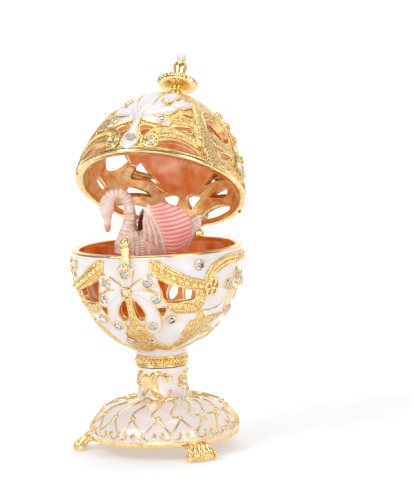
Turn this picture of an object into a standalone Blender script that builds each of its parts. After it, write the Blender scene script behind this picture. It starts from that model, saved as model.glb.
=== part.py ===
"""Jewelled egg trinket box: an openwork enamelled egg on a footed pedestal, with a swan inside.

Sizes are in metres, +Z is up, the clasp faces -Y and the hinge is at +Y. Everything is modelled
about the egg's own axis and hangs on an empty there. That axis stands a little off the origin,
which is the middle of the space the box takes up on the surface its three paws stand on. The lid
is modelled closed, under an empty on the hinge axis that holds it open at its rest angle.
"""
import math

import bmesh
import bpy
from mathutils import Matrix, Vector

MM = 0.001

# Place of the egg's axis from the origin
EGG_AXIS = (0.905 * MM, -1.921 * MM, 0.0)

# Egg: rim and walls
RIM_RADIUS = 27.5 * MM
RIM_BAND = 1.5 * MM
RIM_PROUD = 0.3 * MM
WALL = 2.0 * MM
RIM_INNER_RADIUS = RIM_RADIUS - 2.5 * MM
BOWL_HEIGHT = 33.0 * MM
LID_HEIGHT = 33.8 * MM
FLOOR_THICKNESS = 2.6 * MM
BELLY_SHARE = 0.11
BELLY_REACH = 0.948
BELLY_TAPER = 0.045
DOME_TAPER = 0.08

# Collar under the bowl, and the pedestal
COLLAR_RADIUS = 8.6 * MM
COLLAR_WAIST = 8.0 * MM
COLLAR_HEIGHT = 5.4 * MM
COLLAR_RIDGE = 0.8 * MM
STEM_RADIUS = 7.7 * MM
STEM_HEIGHT = 9.2 * MM
DOME_HEIGHT = 13.5 * MM
BASE_RADIUS = 24.1 * MM
BASE_WALL = 1.8 * MM
BASE_LIFT = 4.17 * MM
SWIRL_COUNT = 16

# Paw feet
FOOT_COUNT = 3
FIRST_FOOT_AZIMUTH = 44.0
FOOT_REACH = 30.4 * MM
PAW_WIDTH = 9.3 * MM
LEG_WIDTH = 7.6 * MM
TOE_COUNT = 5
TOE_HALF_LENGTH = 2.6 * MM
TOE_HEIGHT = 2.9 * MM

# Fits
SEAT_GAP = 0.3 * MM
CRYSTAL_GAP = 0.12 * MM
PIN_CLEARANCE = 0.1 * MM

# Hinge and clasp
HINGE_SETBACK = 3.47 * MM
HINGE_RISE = 0.22 * MM
HINGE_LENGTH = 10.0 * MM
KNUCKLE_RADIUS = 1.6 * MM
PIN_RADIUS = 0.6 * MM
LEAF_THICKNESS = 1.0 * MM
LEAF_HEIGHT = 3.1 * MM
HINGE_WEB = 0.9 * MM
OPEN_ANGLE = math.radians(32.3)
CLASP_BALL_RADIUS = 1.6 * MM
CLASP_WIDTH = 2.6 * MM
CLASP_RISE = 3.2 * MM
CLASP_THICKNESS = 1.1 * MM
CLASP_DROP = 3.0 * MM

# Ornament: azimuths are in degrees from -Y towards +X, heights are shares of a wall's height
BOWL_BOWS = {"front": -1.5, "back": 181.5}
LID_BOWS = {"front": -3.0, "back": 183.0}
SIDE_AZIMUTHS = (88.0, -88.0)
RELIEF = 0.75 * MM
RELIEF_STEP = 0.04 * MM
SINK = 0.5 * MM
KNOB_RADIUS = 1.9 * MM
CRYSTAL_RADIUS = 1.35 * MM
BIG_CRYSTAL_RADIUS = 1.6 * MM
CRYSTAL_HEIGHT = 0.9 * MM
BOW_SHARE = 0.34
DROP_SHARE = 0.15

# Finial and swan
FINIAL_HEIGHT = 14.0 * MM
SAUCER_RADIUS = 6.7 * MM
SAUCER_SCALLOPS = 12
PEARL_RADIUS = 1.95 * MM
SWAN_LENGTH = 33.0 * MM
SWAN_YAW = math.radians(200.4)
SWAN_RISE = 0.5 * MM
POST_RADIUS = 2.4 * MM

# Smoothness
EGG_SEGMENTS = 24
BASE_SEGMENTS = 24
SMALL_SEGMENTS = 8
WELD_DISTANCE = 0.01 * MM
LEVEL_ANGLE = 3.0

# Places that follow from the sizes above
COLLAR_BOTTOM = BASE_LIFT + DOME_HEIGHT + STEM_HEIGHT + SEAT_GAP
BOWL_BOTTOM = COLLAR_BOTTOM + COLLAR_HEIGHT
RIM_Z = BOWL_BOTTOM + BOWL_HEIGHT
LID_BOTTOM = RIM_Z + SEAT_GAP
WALL_RADIUS = RIM_RADIUS - RIM_PROUD
HINGE = Vector((0.0, RIM_RADIUS + HINGE_SETBACK, RIM_Z + HINGE_RISE))

# Outlines on the bowl, as (degrees from the bow's middle, share of the bowl's height from the rim)
BOWL_SIDE_OPENING = [
    (21, 0.225), (31, 0.29), (46, 0.335), (48.5, 0.40),
    (47, 0.455), (38, 0.468), (30, 0.47), (25.5, 0.445), (23.5, 0.34)
]
BOWL_LOBE_OPENING = [(19, 0.515), (27, 0.51), (25, 0.59), (21.5, 0.57)]
BOWL_SLOT_OPENING = [
    (2.4, 0.43), (5.5, 0.44), (9, 0.50), (11.3, 0.57), (10.6, 0.63), (6.8, 0.645), (3.4, 0.61), (2.3, 0.52)
]

# Outlines on the lid, as (degrees, share of the lid's height from its rim)
LID_DROP_OPENING = [(3.5, 0.30), (8.5, 0.32), (15, 0.29), (11.5, 0.23), (7.8, 0.175), (4.6, 0.225)]
LID_CRESCENT = [(18.5, 0.06), (19, 0.13), (30, 0.172), (41.5, 0.145), (49, 0.07), (34.5, 0.052)]
LID_SLANT_OPENING = [(53, 0.525), (64.5, 0.578), (73.5, 0.53), (80, 0.465), (73, 0.355), (63, 0.37), (57, 0.43)]
LID_LOW_OPENING = [(63, 0.205), (77, 0.25), (78.5, 0.20), (69, 0.15)]
LID_FRONT_OPENINGS = [
    [(26, 0.318), (33, 0.345), (40.5, 0.36), (41.5, 0.29), (32.5, 0.29)],
    [(31.5, 0.51), (42.5, 0.52), (42.5, 0.472), (37, 0.469)],
]
LID_BACK_OPENINGS = [
    [(25, 0.27), (31, 0.315), (45, 0.31), (44, 0.22), (34, 0.24)],
    [(21, 0.40), (33, 0.50), (42, 0.55), (46, 0.39), (33, 0.41)],
]

# Raised bands, as (degrees, share, half width in mm) from root to tip
BOW_PETALS = [
    [(0, 0.30, 0.9), (0, 0.19, 2.1), (0, 0.11, 1.0)],
    [(3, 0.32, 0.9), (13.5, 0.255, 2.1), (19, 0.225, 1.0)],
    [(3, 0.36, 0.9), (18, 0.40, 2.2), (24, 0.43, 1.0)],
    [(3, 0.38, 0.8), (12.5, 0.49, 1.6), (17, 0.64, 2.2), (16, 0.75, 1.1)],
]
BOW_STEM = [(0, 0.37, 0.9), (0, 0.64, 1.1), (0, 0.80, 3.4), (0, 0.93, 1.6)]
SWAG = [(18, 0.10, 1.2), (25, 0.165, 2.1), (38, 0.26, 2.0), (56, 0.33, 1.5)]
SWAG_ARM = [(58, 0.31, 1.3), (61, 0.19, 1.8), (72, 0.125, 1.7), (88, 0.11, 1.4)]
ACANTHUS = [(54, 0.56, 0.7), (51, 0.74, 2.6), (38, 0.93, 0.8)]
SIDE_PETALS = [[(0, 0.34, 1.0), (0, 0.25, 1.8), (0, 0.16, 1.0)]]
LID_PETALS = [
    [(0, 0.47, 0.9), (0, 0.64, 2.8), (0, 0.80, 1.2)],
    [(4, 0.46, 0.9), (14, 0.63, 2.4), (21, 0.78, 1.0)],
    [(4, 0.44, 0.9), (17, 0.52, 2.3), (27, 0.565, 1.0)],
    [(3, 0.41, 0.9), (16, 0.39, 1.6), (24, 0.35, 1.0)],
]
LID_DROP = [(0, 0.39, 0.9), (0, 0.27, 1.2), (0, 0.14, 2.8), (0, 0.05, 1.4)]
LID_SWAG = [(16, 0.20, 1.4), (24, 0.236, 1.5), (35, 0.238, 1.5), (47, 0.185, 1.4)]
LID_RIB = [(45.5, 0.76, 1.2), (47.5, 0.567, 1.5), (48.3, 0.417, 2.4), (53, 0.27, 2.8), (60, 0.07, 2.6)]
LID_SIDE_RIB = [(0, 0.72, 1.2), (0, 0.40, 1.9), (0, 0.06, 1.6)]

# Crystals, as (degrees, share) on raised places
BOWL_CRYSTALS = [(0, 0.17), (14.8, 0.256), (20, 0.415), (15.5, 0.68)]
BOWL_LOW_CRYSTALS = [(31, 0.63)]
BOWL_RIM_CRYSTALS = [(50, 0.12)]
LID_CRYSTALS = [(18, 0.635), (18.5, 0.385)]


def clear_scene():
    """Start from an empty scene."""
    for item in list(bpy.data.objects):
        bpy.data.objects.remove(item, do_unlink=True)


def new_collection(name):
    """Make a collection and link it to the scene."""
    group = bpy.data.collections.new(name)
    bpy.context.scene.collection.children.link(group)
    return group


clear_scene()
BOX = new_collection("jewelled_egg_box")
CUTTERS = new_collection("cutters")


def material(name, colour, roughness, metallic, transmission=0.0):
    """A plain Principled finish."""
    finish = bpy.data.materials.new(name)
    finish.use_nodes = True
    shader = finish.node_tree.nodes["Principled BSDF"]
    shader.inputs["Base Color"].default_value = (*colour, 1.0)
    shader.inputs["Roughness"].default_value = roughness
    shader.inputs["Metallic"].default_value = metallic
    shader.inputs["Transmission Weight"].default_value = transmission
    finish.diffuse_color = (*colour, 1.0)
    return finish


GOLD = material("gilt_metal", (0.90, 0.66, 0.25), 0.25, 1.0)
ENAMEL = material("white_enamel", (0.90, 0.86, 0.84), 0.15, 0.0)
PEDESTAL_ENAMEL = material("pedestal_enamel", (0.90, 0.84, 0.80), 0.15, 0.0)
LID_ENAMEL = material("lid_enamel", (0.90, 0.80, 0.62), 0.2, 0.0)
PINK = material("swan_enamel", (0.88, 0.50, 0.48), 0.3, 0.0)
PEARL = material("pearl", (0.93, 0.90, 0.86), 0.2, 0.0)
CRYSTAL = material("crystal", (0.95, 0.96, 1.0), 0.02, 0.0, 0.9)


def add_mesh(name, mesh, finish=None, cutter=False):
    """Put a mesh into the scene as one object, kept or as a cutter."""
    item = bpy.data.objects.new(name, mesh)
    (CUTTERS if cutter else BOX).objects.link(item)
    if cutter:
        item.hide_render = True
        item.display_type = "WIRE"
    if finish is not None:
        mesh.materials.clear()
        mesh.materials.append(finish)
    mesh.shade_smooth()
    mesh.set_sharp_from_angle(angle=math.radians(35))
    return item


def bmesh_object(name, fill, finish=None, cutter=False):
    """Make an object from a function that fills a bmesh with closed shapes."""
    shape = bmesh.new()
    fill(shape)
    bmesh.ops.recalc_face_normals(shape, faces=shape.faces)
    mesh = bpy.data.meshes.new(name)
    shape.to_mesh(mesh)
    shape.free()
    return add_mesh(name, mesh, finish, cutter)


def turned(name, profile, segments, finish, cutter=False):
    """A solid turned about Z from (radius, height) points that run down its outer side."""
    mesh = bpy.data.meshes.new(name)
    points = [(radius, 0.0, height) for radius, height in profile]
    edges = [(index, index + 1) for index in range(len(points) - 1)]
    mesh.from_pydata(points, edges, [])
    item = add_mesh(name, mesh, finish, cutter)
    screw = item.modifiers.new("turn", "SCREW")
    screw.steps = segments
    screw.render_steps = segments
    screw.use_merge_vertices = True
    screw.merge_threshold = 0.00001
    screw.use_smooth_shade = True
    return item


def boolean(item, other, operation):
    """Cut or join another object, which may hold overlapping shapes of its own."""
    step = item.modifiers.new(operation.lower(), "BOOLEAN")
    step.operation = operation
    step.solver = "EXACT"
    step.use_self = True
    step.object = other


def clean_facets(item):
    """Weld slivers and merge level facets that the Booleans leave."""
    weld = item.modifiers.new("weld", "WELD")
    weld.merge_threshold = WELD_DISTANCE
    level = item.modifiers.new("level", "DECIMATE")
    level.decimate_type = "DISSOLVE"
    level.angle_limit = math.radians(LEVEL_ANGLE)


def loft(shape, rings):
    """Skin a row of rings with equal point counts, closed at both ends."""
    rows = [[shape.verts.new(point) for point in ring] for ring in rings]
    count = len(rows[0])
    for low, high in zip(rows, rows[1:]):
        for index in range(count):
            after = (index + 1) % count
            shape.faces.new((low[index], low[after], high[after], high[index]))
    shape.faces.new(rows[0][::-1])
    shape.faces.new(rows[-1])


def bowl_wall(share):
    """Radius and height of the bowl's outer wall, by the share of its height below the rim."""
    fall = max(0.0, share - BELLY_SHARE) / (1.0 - BELLY_SHARE) * BELLY_REACH
    radius = WALL_RADIUS * math.sqrt(max(0.0, 1.0 - fall * fall)) * (1.0 - BELLY_TAPER * fall)
    return radius, RIM_Z - share * BOWL_HEIGHT


def lid_wall(share):
    """Radius and height of the closed lid's outer wall, by the share of its height above its rim."""
    radius = WALL_RADIUS * math.sqrt(max(0.0, 1.0 - share * share)) * (1.0 - DOME_TAPER * share)
    return radius, LID_BOTTOM + share * LID_HEIGHT


def wall_frame(wall, azimuth, share):
    """Point, outward normal and sideways direction at a place on a wall."""
    step = 0.004
    radius, height = wall(share)
    radius_a, height_a = wall(share - step)
    radius_b, height_b = wall(share + step)
    run = radius_b - radius_a
    rise = height_b - height_a
    if rise < 0.0:
        run, rise = -run, -rise
    turn = math.radians(azimuth)
    outward = Vector((math.sin(turn), -math.cos(turn), 0.0))
    sideways = Vector((math.cos(turn), math.sin(turn), 0.0))
    point = outward * radius + Vector((0.0, 0.0, height))
    normal = (outward * rise - Vector((0.0, 0.0, run))).normalized()
    return point, normal, sideways


def both_sides(places):
    """An outline or band and its mirror image about the bow's middle."""
    mirrored = [(-place[0], *place[1:]) for place in places]
    return [places] if all(place[0] == 0 for place in places) else [places, mirrored]


def turned_places(places, middle):
    """Places counted from a bow's middle, as azimuths round the egg."""
    return [(middle + place[0], *place[1:]) for place in places]


def band(shape, wall, places, relief):
    """A raised ridge that follows a wall, through (azimuth, share, half width) places."""
    frames = [wall_frame(wall, azimuth, share) for azimuth, share, _ in places]
    rings = []
    for index, (point, normal, _) in enumerate(frames):
        before = frames[max(index - 1, 0)][0]
        after = frames[min(index + 1, len(frames) - 1)][0]
        along = (after - before).normalized()
        across = normal.cross(along).normalized() * places[index][2] * MM
        foot = point - normal * SINK
        top = point + normal * relief
        rings.append([foot - across, foot + across, top])
    loft(shape, rings)


def knob(shape, place, radius, segments=8, rings=4):
    """A round bead."""
    bmesh.ops.create_uvsphere(
        shape, u_segments=segments, v_segments=rings, radius=radius, matrix=Matrix.Translation(place)
    )


def outline_cutter(name, wall, places, depth):
    """A cutter with a smooth outline on a wall, straight through along the wall's normal."""
    points = [wall_frame(wall, azimuth, share)[0] for azimuth, share in places]
    middle_azimuth = sum(place[0] for place in places) / len(places)
    middle_share = sum(place[1] for place in places) / len(places)
    centre, normal, sideways = wall_frame(wall, middle_azimuth, middle_share)
    upward = normal.cross(sideways)
    frame = Matrix((sideways, upward, normal)).transposed().to_4x4()
    frame.translation = centre
    curve = bpy.data.curves.new(name, "CURVE")
    curve.dimensions = "2D"
    curve.fill_mode = "BOTH"
    curve.extrude = depth
    curve.resolution_u = 2 if len(points) > 4 else 1
    spline = curve.splines.new("BEZIER")
    spline.bezier_points.add(len(points) - 1)
    for knot, point in zip(spline.bezier_points, points):
        offset = point - centre
        knot.co = (offset.dot(sideways), offset.dot(upward), 0.0)
        knot.handle_left_type = "AUTO"
        knot.handle_right_type = "AUTO"
    spline.use_cyclic_u = True
    return mesh_from_curve(name, curve, frame)


def mesh_from_curve(name, curve, frame):
    """Turn a curve into a closed mesh in the cutters' collection."""
    source = bpy.data.objects.new(name + "_curve", curve)
    CUTTERS.objects.link(source)
    bpy.context.view_layer.update()
    graph = bpy.context.evaluated_depsgraph_get()
    mesh = bpy.data.meshes.new_from_object(source.evaluated_get(graph))
    bpy.data.objects.remove(source, do_unlink=True)
    shape = bmesh.new()
    shape.from_mesh(mesh)
    bmesh.ops.remove_doubles(shape, verts=shape.verts, dist=0.00001)
    bmesh.ops.recalc_face_normals(shape, faces=shape.faces)
    shape.transform(frame)
    shape.to_mesh(mesh)
    shape.free()
    return add_mesh(name, mesh, cutter=True)


def joined(name, items):
    """Join cutters that stay clear of each other into one cutter."""
    shape = bmesh.new()
    for item in items:
        shape.from_mesh(item.data)
    mesh = bpy.data.meshes.new(name)
    shape.to_mesh(mesh)
    shape.free()
    for item in items:
        bpy.data.objects.remove(item, do_unlink=True)
    return add_mesh(name, mesh, cutter=True)


def openings(name, wall, outlines):
    """One cutter that holds every opening of a wall."""
    items = []
    for middle, outline in outlines:
        for side in both_sides(outline):
            items.append(outline_cutter(name, wall, turned_places(side, middle), 2.5 * WALL))
    return joined(name, items)


def add_bands(shape, wall, middle, bands):
    """Raised bands on both sides of a middle line, each a little lower than the last."""
    for index, places in enumerate(bands):
        for side in both_sides(places):
            band(shape, wall, turned_places(side, middle), RELIEF - index * RELIEF_STEP)


def bowl_profile():
    """The bowl's section: inside floor, inside wall, rim, outside wall and collar."""
    inner_rows = [0.68, 0.32]
    outer_rows = [0.11, 0.31, 0.50, 0.66, 0.80, 0.91]
    floor = BOWL_BOTTOM + FLOOR_THICKNESS
    profile = [(0.0, floor), (bowl_wall(0.93)[0] - 2.2 * WALL, floor)]
    profile += [(bowl_wall(share)[0] - WALL, bowl_wall(share)[1]) for share in inner_rows]
    profile += [(RIM_INNER_RADIUS, RIM_Z - RIM_BAND)]
    profile += [(RIM_INNER_RADIUS, RIM_Z), (RIM_RADIUS, RIM_Z)]
    profile += [(RIM_RADIUS, RIM_Z - RIM_BAND), (WALL_RADIUS, RIM_Z - RIM_BAND)]
    profile += [bowl_wall(share) for share in outer_rows]
    profile += [(COLLAR_WAIST, BOWL_BOTTOM), (COLLAR_RADIUS, BOWL_BOTTOM - COLLAR_RIDGE / 2)]
    profile += [(COLLAR_WAIST, BOWL_BOTTOM - COLLAR_RIDGE), (COLLAR_WAIST, COLLAR_BOTTOM + COLLAR_RIDGE)]
    profile += [(COLLAR_RADIUS, COLLAR_BOTTOM + COLLAR_RIDGE / 2), (COLLAR_RADIUS, COLLAR_BOTTOM)]
    profile += [(0.0, COLLAR_BOTTOM)]
    return profile


def swan_bottom():
    """Height of the swan's underside."""
    return RIM_Z + SWAN_RISE - 6.0 / 33.0 * SWAN_LENGTH


def bowl_relief(shape):
    """Bows, swags, knots and leaves on the bowl, and the post that carries the swan."""
    for middle in BOWL_BOWS.values():
        bands = BOW_PETALS + [BOW_STEM, SWAG, SWAG_ARM, ACANTHUS]
        add_bands(shape, bowl_wall, middle, bands)
        for azimuth, share in ((58, 0.36), (-58, 0.36), (0, BOW_SHARE)):
            point, normal, _ = wall_frame(bowl_wall, middle + azimuth, share)
            knob(shape, point, KNOB_RADIUS)
    for middle in SIDE_AZIMUTHS:
        add_bands(shape, bowl_wall, middle, SIDE_PETALS)


def swan_post(shape):
    """A round post from the bowl's floor to just under the swan."""
    floor = BOWL_BOTTOM + FLOOR_THICKNESS - SINK
    top = swan_bottom() - SEAT_GAP
    bmesh.ops.create_cone(
        shape, cap_ends=True, segments=10, radius1=POST_RADIUS, radius2=POST_RADIUS,
        depth=top - floor, matrix=Matrix.Translation((0.0, 0.0, (top + floor) / 2)),
    )


def make_bowl():
    """The openwork bowl with its collar."""
    bowl = turned("bowl", bowl_profile(), EGG_SEGMENTS, ENAMEL)
    outlines = []
    for middle in BOWL_BOWS.values():
        outlines += [(middle, BOWL_SIDE_OPENING), (middle, BOWL_LOBE_OPENING), (middle, BOWL_SLOT_OPENING)]
    boolean(bowl, openings("bowl_openings", bowl_wall, outlines), "DIFFERENCE")
    boolean(bowl, bmesh_object("bowl_relief", bowl_relief, cutter=True), "UNION")
    boolean(bowl, bmesh_object("swan_post", swan_post, cutter=True), "UNION")
    clean_facets(bowl)


def lid_profile():
    """The closed lid's section: top pad, outside wall, rim and inside wall."""
    outer_rows = [0.97, 0.90, 0.79, 0.64, 0.47, 0.29, 0.11]
    inner_rows = [0.06, 0.42, 0.76]
    profile = [(0.0, lid_wall(0.997)[1]), (lid_wall(0.997)[0], lid_wall(0.997)[1])]
    profile += [lid_wall(share) for share in outer_rows]
    profile += [(WALL_RADIUS, LID_BOTTOM + RIM_BAND), (RIM_RADIUS, LID_BOTTOM + RIM_BAND)]
    profile += [(RIM_RADIUS, LID_BOTTOM), (RIM_INNER_RADIUS, LID_BOTTOM)]
    profile += [(lid_wall(share)[0] - WALL, lid_wall(share)[1]) for share in inner_rows]
    profile += [(0.0, lid_wall(1.0)[1] - WALL)]
    return profile


def lid_relief(shape):
    """Petals, drops, swags and granulated ribs on the lid."""
    for middle in LID_BOWS.values():
        add_bands(shape, lid_wall, middle, LID_PETALS + [LID_DROP, LID_SWAG, LID_RIB])
    for middle in SIDE_AZIMUTHS:
        add_bands(shape, lid_wall, middle, [LID_SIDE_RIB])


def on_lid(item, hinge):
    """Hang a piece that is modelled closed on the hinge's empty."""
    item.parent = hinge
    item.location = item.location - HINGE
    return item


def make_lid(hinge):
    """The openwork lid."""
    lid = on_lid(turned("lid", lid_profile(), EGG_SEGMENTS, LID_ENAMEL), hinge)
    outlines = []
    shared = [LID_DROP_OPENING, LID_CRESCENT, LID_SLANT_OPENING, LID_LOW_OPENING]
    for middle, own in ((LID_BOWS["front"], LID_FRONT_OPENINGS), (LID_BOWS["back"], LID_BACK_OPENINGS)):
        outlines += [(middle, outline) for outline in shared + own]
    boolean(lid, on_lid(openings("lid_openings", lid_wall, outlines), hinge), "DIFFERENCE")
    boolean(lid, on_lid(bmesh_object("lid_relief", lid_relief, cutter=True), hinge), "UNION")
    clean_facets(lid)


def pedestal_profile():
    """The pedestal's section: stem, domed base, edge and hollow underside."""
    top = COLLAR_BOTTOM - SEAT_GAP
    foot = BASE_LIFT + DOME_HEIGHT
    reach = BASE_RADIUS - STEM_RADIUS
    shares = [(0.09, 0.93), (0.32, 0.88), (0.60, 0.78), (0.80, 0.59), (0.95, 0.36), (1.0, 0.14)]
    profile = [(0.0, top), (COLLAR_WAIST, top), (COLLAR_WAIST, top - COLLAR_RIDGE)]
    profile += [(STEM_RADIUS, top - 2 * COLLAR_RIDGE), (STEM_RADIUS - COLLAR_RIDGE / 3, top - STEM_HEIGHT / 2)]
    profile += [(STEM_RADIUS + COLLAR_RIDGE / 3, foot)]
    profile += [(STEM_RADIUS + reach * out, BASE_LIFT + DOME_HEIGHT * up) for out, up in shares]
    profile += [(BASE_RADIUS - COLLAR_RIDGE, BASE_LIFT), (BASE_RADIUS - COLLAR_RIDGE - BASE_WALL, BASE_LIFT)]
    for out, up in reversed(shares[1:-1]):
        inside = STEM_RADIUS + reach * out - BASE_WALL
        profile.append((inside, BASE_LIFT + DOME_HEIGHT * up - BASE_WALL * out))
    profile += [(0.0, BASE_LIFT + DOME_HEIGHT * 0.88 - BASE_WALL)]
    return profile


def base_height(radius):
    """Height of the domed base's top at a radius, on the turned profile."""
    points = pedestal_profile()[5:12]
    for (radius_a, height_a), (radius_b, height_b) in zip(points, points[1:]):
        if radius_a <= radius <= radius_b:
            return height_a + (height_b - height_a) * (radius - radius_a) / (radius_b - radius_a)
    return points[-1][1]


def swirl(shape, azimuth):
    """One raised S-shaped wire on the domed base, ending in a bead."""
    shares = [0.12, 0.34, 0.60]
    bends = [0.0, 5.0, 3.0]
    reach = BASE_RADIUS - STEM_RADIUS
    rings = []
    for share, bend in zip(shares, bends):
        turn = math.radians(azimuth + bend)
        radius = STEM_RADIUS + reach * share
        outward = Vector((math.sin(turn), -math.cos(turn), 0.0))
        across = Vector((math.cos(turn), math.sin(turn), 0.0)) * 0.45 * MM
        point = outward * radius + Vector((0.0, 0.0, base_height(radius)))
        rise = Vector((0.0, 0.0, 0.5 * MM))
        rings.append([point - rise - across, point - rise + across, point + rise])
    loft(shape, rings)


def leg(shape, azimuth):
    """One leg from under the base's edge down to its paw."""
    turn = math.radians(azimuth)
    outward = Vector((math.sin(turn), -math.cos(turn), 0.0))
    across = Vector((math.cos(turn), math.sin(turn), 0.0))
    heel = BASE_RADIUS - 2.0 * BASE_WALL
    run = FOOT_REACH - heel
    stations = [(0.0, 1.25, 1.9, 0.85), (0.3, 1.35, 2.2, 1.0), (0.6, 0.8, 2.6, 1.05), (0.84, 0.4, 1.6, 1.1)]
    rings = []
    for share, height, half_height, width in stations:
        centre = outward * (heel + run * share) + Vector((0.0, 0.0, BASE_LIFT * height))
        half = LEG_WIDTH / 2 * width
        ring = []
        for corner in range(6):
            angle = 2 * math.pi * corner / 6
            offset = across * math.cos(angle) * half + Vector((0.0, 0.0, math.sin(angle) * half_height * MM))
            point = centre + offset
            point.z = max(point.z, 0.0)
            ring.append(point)
        rings.append(ring)
    loft(shape, rings)


def toes(shape, azimuth):
    """Rounded toes side by side at the front of one paw."""
    turn = math.radians(azimuth)
    outward = Vector((math.sin(turn), -math.cos(turn), 0.0))
    across = Vector((math.cos(turn), math.sin(turn), 0.0))
    pitch = PAW_WIDTH / TOE_COUNT
    for index in range(TOE_COUNT):
        offset = (index - (TOE_COUNT - 1) / 2) * pitch
        setback = TOE_HALF_LENGTH + 0.25 * abs(offset)
        centre = outward * (FOOT_REACH - setback) + across * offset
        rings = []
        for share, size in ((-1.0, 0.8), (0.3, 1.0), (1.0, 0.5)):
            place = centre + outward * TOE_HALF_LENGTH * share
            half = pitch * 0.62 * size
            height = TOE_HEIGHT * size
            rings.append([place - across * half, place + across * half, place + Vector((0, 0, height))])
        loft(shape, rings)


def pedestal_relief(shape):
    """Swirls on the base, and the three feet."""
    for index in range(SWIRL_COUNT):
        swirl(shape, index * 360.0 / SWIRL_COUNT)
    for index in range(FOOT_COUNT):
        azimuth = FIRST_FOOT_AZIMUTH + index * 360.0 / FOOT_COUNT
        leg(shape, azimuth)
        toes(shape, azimuth)


def make_pedestal():
    """The pedestal: stem, domed base and feet in one casting, hollow beneath."""
    pedestal = turned("pedestal", pedestal_profile(), BASE_SEGMENTS, PEDESTAL_ENAMEL)
    boolean(pedestal, bmesh_object("pedestal_relief", pedestal_relief, cutter=True), "UNION")
    clean_facets(pedestal)


def saucer(shape):
    """The finial's scalloped saucer."""
    segments = SAUCER_SCALLOPS * 3
    base = LID_BOTTOM + LID_HEIGHT + SEAT_GAP
    rows = [(0.35, 0.20, 0.0), (1.0, 0.39, 1.0), (0.30, 0.47, 0.0)]
    rings = []
    for radius_share, height_share, wave in rows:
        ring = []
        for index in range(segments):
            angle = 2 * math.pi * index / segments
            ripple = 1.0 - 0.07 * wave * (1.0 - math.cos(SAUCER_SCALLOPS * angle)) / 2
            radius = SAUCER_RADIUS * radius_share * ripple
            ring.append((radius * math.cos(angle), radius * math.sin(angle), base + FINIAL_HEIGHT * height_share))
        rings.append(ring)
    loft(shape, rings)


def make_finial(hinge):
    """The gilt finial under the pearl."""
    base = LID_BOTTOM + LID_HEIGHT + SEAT_GAP
    rows = [(0.0, 1.0), (1.5, 0.99), (1.5, 0.96), (1.7, 0.90), (2.3, 0.83), (2.3, 0.76), (1.7, 0.67), (1.6, 0.5)]
    rows += [(2.2, 0.22), (2.2, 0.12), (1.4, 0.0), (0.0, 0.0)]
    profile = [(radius * MM, base + FINIAL_HEIGHT * share) for radius, share in rows]
    finial = on_lid(turned("finial", profile, SMALL_SEGMENTS, GOLD), hinge)
    boolean(finial, on_lid(bmesh_object("finial_saucer", saucer, cutter=True), hinge), "UNION")


def make_pearl(hinge):
    """The pearl that tops the finial."""
    height = LID_BOTTOM + LID_HEIGHT + FINIAL_HEIGHT + 2 * SEAT_GAP + PEARL_RADIUS
    pearl = bmesh_object(
        "finial_pearl", lambda shape: knob(shape, (0.0, 0.0, height), PEARL_RADIUS, 10, 6), PEARL
    )
    on_lid(pearl, hinge)


def tube(start, end, radius, segments=SMALL_SEGMENTS):
    """Matrix and sizes of a round bar between two points along X."""
    middle = (Vector(start) + Vector(end)) / 2
    turn = Matrix.Translation(middle) @ Matrix.Rotation(math.pi / 2, 4, "Y")
    return {
        "cap_ends": True, "segments": segments, "radius1": radius, "radius2": radius,
        "depth": (Vector(end) - Vector(start)).length, "matrix": turn,
    }


def block(shape, low, high):
    """A box between two corners."""
    size = Vector(high) - Vector(low)
    middle = (Vector(high) + Vector(low)) / 2
    bmesh.ops.create_cube(shape, size=1.0, matrix=Matrix.Translation(middle) @ Matrix.Diagonal((*size, 1.0)))


def hinge_leaf(name, knuckles, side, finish):
    """A hinge leaf: plate behind the wall, and knuckles bored for the pin."""
    near = RIM_RADIUS + SEAT_GAP
    low_gap = HINGE.z + side * SEAT_GAP

    def plate(shape):
        half = HINGE_LENGTH / 2
        heights = sorted((low_gap, HINGE.z + side * LEAF_HEIGHT))
        block(shape, (-half, near, heights[0]), (half, near + LEAF_THICKNESS, heights[1]))

    def arms(shape):
        for start, end in knuckles:
            heights = sorted((low_gap, HINGE.z + side * (SEAT_GAP + HINGE_WEB)))
            low = (start, near + LEAF_THICKNESS / 2, heights[0])
            block(shape, low, (end, HINGE.y, heights[1]))
            bmesh.ops.create_cone(
                shape, **tube((start, HINGE.y, HINGE.z), (end, HINGE.y, HINGE.z), KNUCKLE_RADIUS)
            )

    def bore(shape):
        reach = HINGE_LENGTH
        ends = ((-reach, HINGE.y, HINGE.z), (reach, HINGE.y, HINGE.z))
        bmesh.ops.create_cone(shape, **tube(*ends, PIN_RADIUS + PIN_CLEARANCE))

    leaf = bmesh_object(name, plate, finish)
    steps = ((arms, "UNION"), (bore, "DIFFERENCE"))
    parts = [leaf]
    for fill, operation in steps:
        other = bmesh_object(f"{name}_{fill.__name__}", fill, cutter=True)
        boolean(leaf, other, operation)
        parts.append(other)
    return parts


def make_hinge(hinge):
    """Two outer knuckles on the bowl's leaf, the middle one on the lid's, and the pin."""
    half = HINGE_LENGTH / 2
    inner = HINGE_LENGTH / 6
    hinge_leaf("hinge_bowl_leaf", [(-half, -inner - SEAT_GAP), (inner + SEAT_GAP, half)], -1, GOLD)
    for item in hinge_leaf("hinge_lid_leaf", [(-inner, inner)], 1, GOLD):
        on_lid(item, hinge)
    ends = ((-half - SEAT_GAP, HINGE.y, HINGE.z), (half + SEAT_GAP, HINGE.y, HINGE.z))
    bmesh_object("hinge_pin", lambda shape: bmesh.ops.create_cone(shape, **tube(*ends, PIN_RADIUS)), GOLD)


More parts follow.
